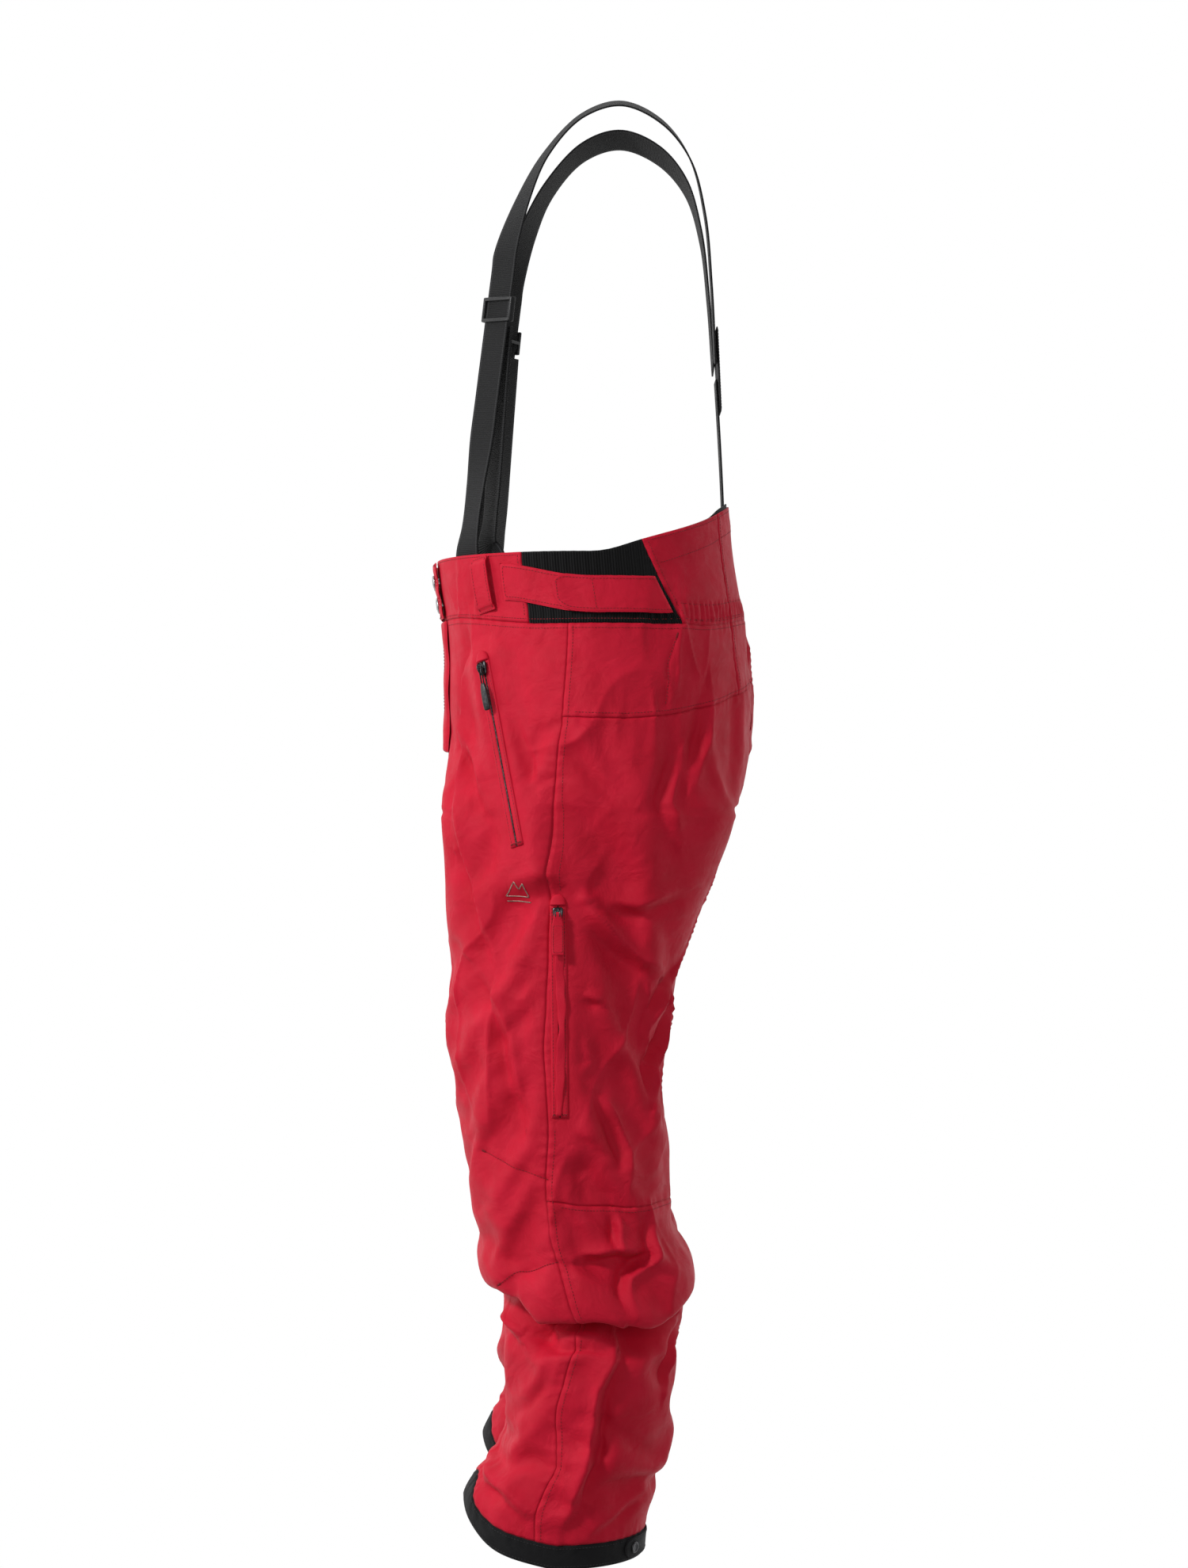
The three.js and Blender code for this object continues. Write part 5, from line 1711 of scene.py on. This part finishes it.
def add_waist_tab(suffix, side):
    """The tab over the strap: sewn on behind, with a rounded free end in front."""
    s = TAB_REACH * (1 - np.cos(np.linspace(0, math.pi / 2, 44)))
    columns = np.array([column_at(TAB_FRONT + TAB_TURN * share, -0.04) for share in s / TAB_REACH])
    middle = adjuster_middle(columns / LAST_COLUMN)
    half = ADJUSTER_HALF - TAB_CORNER + np.sqrt(np.maximum(
        TAB_CORNER ** 2 - np.maximum(TAB_CORNER - s, 0) ** 2, 1e-8))
    half = half * (0.93 + 0.07 * smooth(s, 0, 0.02))
    name = f"waist_tab_{suffix}"
    lift = 0.0040 * np.exp(-(s / 0.014) ** 2)
    add_patch(name, side, columns, middle, half, TAB_HEIGHTS, NYLON, name, lift)
    stitches = Stitches()
    keep = s > STITCH_INSET
    inset = np.maximum(half - STITCH_INSET, 0.002)
    proud = TAB_HEIGHTS[1] + STITCH_PROUD + lift
    for sign in (1, -1):
        stitches.add(*patch_line(side, columns[keep], (middle + sign * inset)[keep], proud[keep]))
    # One row closes the free end. Another holds the hook-and-loop patch under it.
    for k in (int(np.argmax(keep)), int(np.searchsorted(s, 0.040))):
        stitches.add(*cross_line(side, columns[k], middle[k], inset[k], proud[k]))
    stitches.build(f"waist_tab_stitching_{suffix}", THREAD_RED, name, "shell")


HEM_TAB_HALF = 0.0105
HEM_TAB_REACH = 0.062
HEM_TAB_HEIGHTS = (0.0008, 0.0024)


def add_hem_tab(suffix, side):
    t = np.linspace(0, 1, 30)
    columns = LAST_COLUMN * (0.66 + 0.13 * t)
    middle = hem_edge(columns / LAST_COLUMN) + 0.0125
    before = np.maximum(1 - HEM_TAB_REACH * t / HEM_TAB_HALF, 0)
    half = HEM_TAB_HALF * np.sqrt(np.clip(1 - before ** 2, 0.02, 1))
    name = f"hem_tab_{suffix}"
    add_patch(name, side, columns, middle, half, HEM_TAB_HEIGHTS, BINDING, name)
    spot = np.array([row_at(columns[6], middle[6])]), columns[6:7]
    point = place(side, *spot, np.array([0.0023]))[0]
    normal = normal_at(side, *spot)[0]
    across = unit(np.cross(normal, (0, 0, 1.0)))
    up = np.cross(across, normal)
    shells = Shells()
    lathe(shells, [(0.0003, 0), (0.0055, 0), (0.0060, 0.0005), (0.0056, 0.0012), (0.0046, 0.0016),
                   (0.0038, 0.0012), (0.0015, 0.0011), (0.0003, 0.0011)], 32)
    axes = np.array([normal, across, up])
    obj = shells.mapped(lambda points: points @ axes + point).build(f"hem_snap_{suffix}", GUNMETAL)
    finish_piece(obj, name)
    stitches = Stitches()
    for sign in (-1, 1):
        stitches.add(*patch_line(side, columns[3:], (middle + sign * (half - 0.0022))[3:],
                                 HEM_TAB_HEIGHTS[1] + STITCH_PROUD))
    stitches.build(f"hem_tab_stitching_{suffix}", THREAD_BLACK, name, "binding")


for suffix, side in SIDES:
    add_belt_loop(suffix, side)
    add_waist_strap(suffix, side)
    add_waist_tab(suffix, side)
    add_hem_tab(suffix, side)

# ------------------------------------------------------------------- suspenders

WEBBING_WIDTH, WEBBING_THICKNESS = 0.040, 0.0019
CHEST_WIDTH = (0.766, 0.643, 0)
SHOULDER_WIDTH = (0.94, 0, -0.34)
BACK_WIDTH = (1, 0, -0.2)


def chest(x, z, behind=0.0):
    """A place on the chest's run of webbing, in mm."""
    return (x, -126 + 0.1285 * z + behind, z)


STRAP_ROUTE = [
    ((98, -123.5, -36), CHEST_WIDTH), ((99, -124.5, -14), CHEST_WIDTH),
    (chest(99, 4), (0.80, 0.60, 0)), (chest(99, 32), (0.88, 0.47, 0)),
    (chest(99, 75), (0.86, 0.51, 0)), (chest(99, 122), CHEST_WIDTH),
    (chest(99, 160), CHEST_WIDTH),
    (chest(99, 240), CHEST_WIDTH), (chest(99, 300), CHEST_WIDTH), (chest(99, 318), CHEST_WIDTH),
    ((94, -68, 372), (0.86, 0.4, -0.1)), ((89, -44, 421), (0.92, 0.15, -0.25)),
    ((85, -5, 463), SHOULDER_WIDTH), ((83, 36, 476), SHOULDER_WIDTH), ((78, 78, 458), SHOULDER_WIDTH),
    ((70, 108, 421), (0.96, 0, -0.28)), ((58, 124, 365), BACK_WIDTH), ((42, 131.5, 295), BACK_WIDTH),
    ((25, 136.5, 212), BACK_WIDTH),
]
RETURN_ROUTE = [
    ((120, -92, -34), (0.62, 0.78, 0)), ((110, -98.5, -12), (0.68, 0.73, 0)),
    (chest(97, 8, 20), (0.84, 0.54, 0)), (chest(97, 36, 19.5), (0.92, 0.40, 0)),
    (chest(97, 70, 18), (0.91, 0.42, 0)), (chest(97, 140, 12), (0.84, 0.54, 0)),
    (chest(98, 238, 4.8), CHEST_WIDTH),
]
BACK_ROUTE = [
    ((0, 138, 196), (1, 0, 0)), ((0, 142, 130), (1, 0, 0)), ((0, 145, 70), (1, 0, 0)),
    ((0, 146.5, 30), (1, 0, 0)), ((0, 150, 2), (1, 0, 0)), ((0, 154, -24), (1, 0, 0)),
]


def smooth_route(values, stops, count):
    """A Catmull-Rom curve through values, spaced by the root of the stops' distances."""
    values, stops = np.array(values, dtype=float), np.array(stops, dtype=float)
    steps = np.linalg.norm(np.diff(stops, axis=0), axis=1) ** 0.5
    knots = np.concatenate([[0], np.cumsum(steps)])
    slopes = np.empty_like(values)
    for k in range(len(values)):
        if 0 < k < len(values) - 1:
            before, after = knots[k] - knots[k - 1], knots[k + 1] - knots[k]
            slopes[k] = ((values[k] - values[k - 1]) / before * after
                         + (values[k + 1] - values[k]) / after * before) / (before + after)
    slopes[0] = (values[1] - values[0]) / (knots[1] - knots[0])
    slopes[-1] = (values[-1] - values[-2]) / (knots[-1] - knots[-2])
    result = []
    for t in np.linspace(0, knots[-1], count):
        k = min(int(np.searchsorted(knots, t, side="right")) - 1, len(values) - 2)
        span = knots[k + 1] - knots[k]
        result.append(hermite((t - knots[k]) / span, span, values[k], values[k + 1],
                              slopes[k], slopes[k + 1]))
    return np.array(result)


def webbing_run(route, count, side):
    """Points, width directions and face normals along a route."""
    stops = np.array([stop for stop, _ in route]) / 1000
    widths = np.array([width for _, width in route])
    points = smooth_route(stops, stops, count)
    wide = smooth_route(widths, stops, count)
    along = unit(np.gradient(points, axis=0))
    face = unit(np.cross(wide, along))
    across = np.cross(along, face)
    return points * MIRROR[side], across * MIRROR[side], face * MIRROR[side]


def add_webbing(name, route, side, count):
    """A strap that rides no body yet, and the points it runs through."""
    points, across, face = webbing_run(route, count, side)
    shells = Shells()
    band(shells, points, across, face, WEBBING_WIDTH, WEBBING_THICKNESS)
    obj = shells.build(name, WEBBING)
    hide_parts(name)
    return obj, points


def add_adjuster(suffix, side):
    """A moulded tri-glide: two rails, two bars in front of the webbing and one behind."""
    name = f"strap_slider_{suffix}"
    run = Run(name, side, rank=1)
    shells = Shells()
    for y in (-0.0222, 0.0222):
        rounded_bar(shells, (0, y, -0.0128), (0, y, 0.0128), (0, 1, 0), 0.0018, 0.0034, edge=0.6)
    for x, z in ((0.0026, -0.011), (0.0026, 0.011), (-0.0026, 0)):
        rounded_bar(shells, (x, -0.0225, z), (x, 0.0225, z), (0, 0, 1), 0.0019, 0.0010, edge=0.5)
    for z in np.arange(-0.0115, -0.0100, 0.0009):
        rounded_bar(shells, (0.0034, -0.017, z), (0.0034, 0.017, z), (0, 0, 1), 0.0003, 0.0003)
    build_on(run, side, shells, name, PLASTIC, name, [name])


for suffix, side in SIDES:
    strap, _ = add_webbing(f"strap_{suffix}", STRAP_ROUTE, side, 170)
    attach(strap, "garment")
    loop, points = add_webbing(f"strap_return_{suffix}", RETURN_ROUTE, side, 70)
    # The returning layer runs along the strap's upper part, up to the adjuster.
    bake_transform(loop)
    add_adjuster(suffix, side)

back_strap, _ = add_webbing("back_strap", BACK_ROUTE, 1, 80)
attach(back_strap, "garment")


def add_back_patch():
    """A stiff trapezium of cloth where the straps meet, with a stitched border."""
    up = unit(np.array([0, -0.06, 1]))
    right = np.array([1.0, 0, 0])
    out = np.cross(up, right)
    center = np.array([0, 0.1402, 0.205])
    half_height, half_thickness, corner = 0.044, 0.0010, 0.007

    def half_width(v):
        return 0.022 + 0.027 * (v + half_height) / (2 * half_height)

    def on_patch(x, v, proud):
        return center + x[..., None] * right + v[..., None] * up + proud[..., None] * out

    a, b = np.broadcast_arrays(packed(29, 1.5), packed(33, 1.5)[:, None])
    v = half_height * b
    drop = np.maximum(np.abs(v) - (half_height - corner), 0) / corner
    shrink = corner * (1 - np.sqrt(1 - np.minimum(drop, 0.995) ** 2))
    x = (half_width(v) - shrink) * a
    proud = half_thickness * edge_window(a, b, 0.06, 0.05)
    shells = Shells()
    sheet_shell(shells, on_patch(x, v, proud), on_patch(x, v, -proud),
                np.stack([x * 10, v * 10], axis=-1))
    finish_piece(shells.build("back_patch", BINDING), "garment", ["back_patch"])
    stitches = Stitches()
    for inset in (0.0035, 0.0065):
        top = half_height - inset
        wide, narrow = half_width(top) - inset, half_width(-top) - inset
        border = [(narrow, -top), (wide, top), (-wide, top), (-narrow, -top), (narrow, -top)]
        for x, v in border_sides(border, 0.0032):
            line = on_patch(x, v, half_thickness + STITCH_PROUD + 0 * x)
            stitches.add(line, np.broadcast_to(out, line.shape))
    stitches.build("back_patch_stitching", THREAD_BLACK, "garment", "webbing")


add_back_patch()

# --------------------------------------------------------------- seams' stitching


def stitch_garment(suffix, side):
    red, black = Stitches(), Stitches()
    band_row, knee, yoke = BAND_ROW * FINE, KNEE_ROW * FINE, YOKE_ROW * FINE
    waist, top = WAIST_ROW * FINE, TOP_ROW * FINE

    def sew(thread, stops, proud=STITCH_PROUD):
        points, normals = trace(side, stops, STITCH_PITCH, proud)
        thread.add(points, normals)
        return points, normals

    def rows(column, low, high):
        sew(red, [(row, column) for row in np.linspace(low, high, 24)])

    def columns(row, first, last, thread=red):
        sew(thread, [(row, column) for column in np.linspace(first, last, 30)])

    # The vent's zip interrupts the side seam's stitching.
    rows(SIDE_COLUMN + 2.4, band_row + 1, row_at(SIDE_COLUMN, -0.585))
    rows(SIDE_COLUMN + 2.4, row_at(SIDE_COLUMN, -0.345), waist - 1)
    rows(LAST_COLUMN - 2.4, band_row + 1, CROTCH_ROW * FINE)
    rows(BACK_CENTER * FINE + 2.2, yoke + 3, waist - 1)
    rows(BACK_CENTER * FINE + 2.2, waist + 3, top - 1)
    rows(STRETCH_FRONT * FINE - 2.4, waist + 3, top - 1)
    rows(STRETCH_BACK * FINE + 2.4, waist + 3, top - 1)
    columns(knee - 1.8, SIDE_COLUMN + 5, LAST_COLUMN - 1)
    columns(yoke + 2.2, SIDE_COLUMN + 5, LAST_COLUMN)
    columns(waist + 1.8, 14, LAST_COLUMN)
    columns(waist - 2.2, 22, LAST_COLUMN)
    columns(top - 1.2, 6, STRETCH_FRONT * FINE - 3)
    columns(top - 1.0, STRETCH_BACK * FINE + 4, LAST_COLUMN)
    columns(band_row - 1.6, 0, LAST_COLUMN, black)
    columns(1.4, 0, LAST_COLUMN, black)

    # Rows that hold the back facing and the elastic in its casing.
    back_columns = np.linspace(STRETCH_BACK * FINE + 4, LAST_COLUMN, 26)
    for row, above in ((waist, 0.0045), (waist, 0.0215), (top, -0.026)):
        z = FINE_Z[row, back_columns.astype(int)] + above
        red.add(*patch_line(side, back_columns, z, STITCH_PROUD, True))

    for route in DARTS:
        points, normals = sew(red, stops_through(side, route), 0.0006)
        bar_tack(red, points[0], normals[0], points[0] - points[1], 0.007)
    red.build(f"stitching_{suffix}", THREAD_RED, "garment", "shell")
    black.build(f"hem_stitching_{suffix}", THREAD_BLACK, "garment", "binding")


for suffix, side in SIDES:
    stitch_garment(suffix, side)


def add_emblem():
    """A plain outline of two peaks, printed on the left thigh."""
    shells = Shells()
    lines = [
        [(-82, -352), (-74, -336), (-69.5, -344), (-66.5, -339), (-58, -352), (-82, -352)],
        [(-82, -358), (-58, -358)],
    ]
    for line in lines:
        stops = stops_through(1, line)
        for a, b in zip(stops, stops[1:]):
            points, normals = trace(1, [a, b], 0.002, 0.0002)
            along = np.gradient(points, axis=0)
            across = np.cross(normals, along)
            band(shells, points, across, normals, 0.0012, 0.0004, turns=3)
    finish_piece(shells.build("emblem", SILVER_PRINT), "garment")


add_emblem()

# --------------------------------------------------------- carried-over hardware

for entry in frame["record"]["subparts"]:
    shown = frame["nodes"][entry["node"]]
    if not shown.hide_render:
        shown.data.materials.clear()
        shown.data.materials.append(SLOT_MATERIAL[entry["material_slot"]])

# ------------------------------------------------------------------------- light


def add_area(name, location, target, size, power):
    data = bpy.data.lights.new(name, "AREA")
    data.shape = "RECTANGLE"
    data.size, data.size_y = size
    data.energy = power
    lamp = bpy.data.objects.new(name, data)
    bpy.context.collection.objects.link(lamp)
    lamp.location = location
    aim = Vector(target) - Vector(location)
    lamp.rotation_euler = aim.to_track_quat("-Z", "Y").to_euler()


def add_world():
    """A white wall behind the object and a dimmer room on the camera's side."""
    world = bpy.data.worlds.new("studio")
    world.use_nodes = True
    tree = world.node_tree
    background = tree.nodes["Background"]
    source = node(tree, "ShaderNodeTexCoord")
    split = node(tree, "ShaderNodeSeparateXYZ")
    tree.links.new(source.outputs["Generated"], split.inputs[0])
    ramp = node(tree, "ShaderNodeMapRange", **{"From Min": -0.55, "From Max": 0.25,
                                               "To Min": 1.0, "To Max": 0.20})
    tree.links.new(split.outputs[0], ramp.inputs["Value"])
    background.inputs["Color"].default_value = (1, 1, 1, 1)
    tree.links.new(ramp.outputs["Result"], background.inputs["Strength"])
    bpy.context.scene.world = world


add_world()
add_area("key", (2.1, -2.8, 2.0), (0.1, 0, -0.4), (0.6, 0.6), 100)
add_area("front", (0.6, -3.2, 0.2), (0, 0, -0.4), (1.2, 2.0), 22)
add_area("fill", (3.9, 0.6, 0.3), (0, 0, -0.5), (2.0, 2.0), 30)
bpy.context.scene.view_settings.view_transform = "Standard"
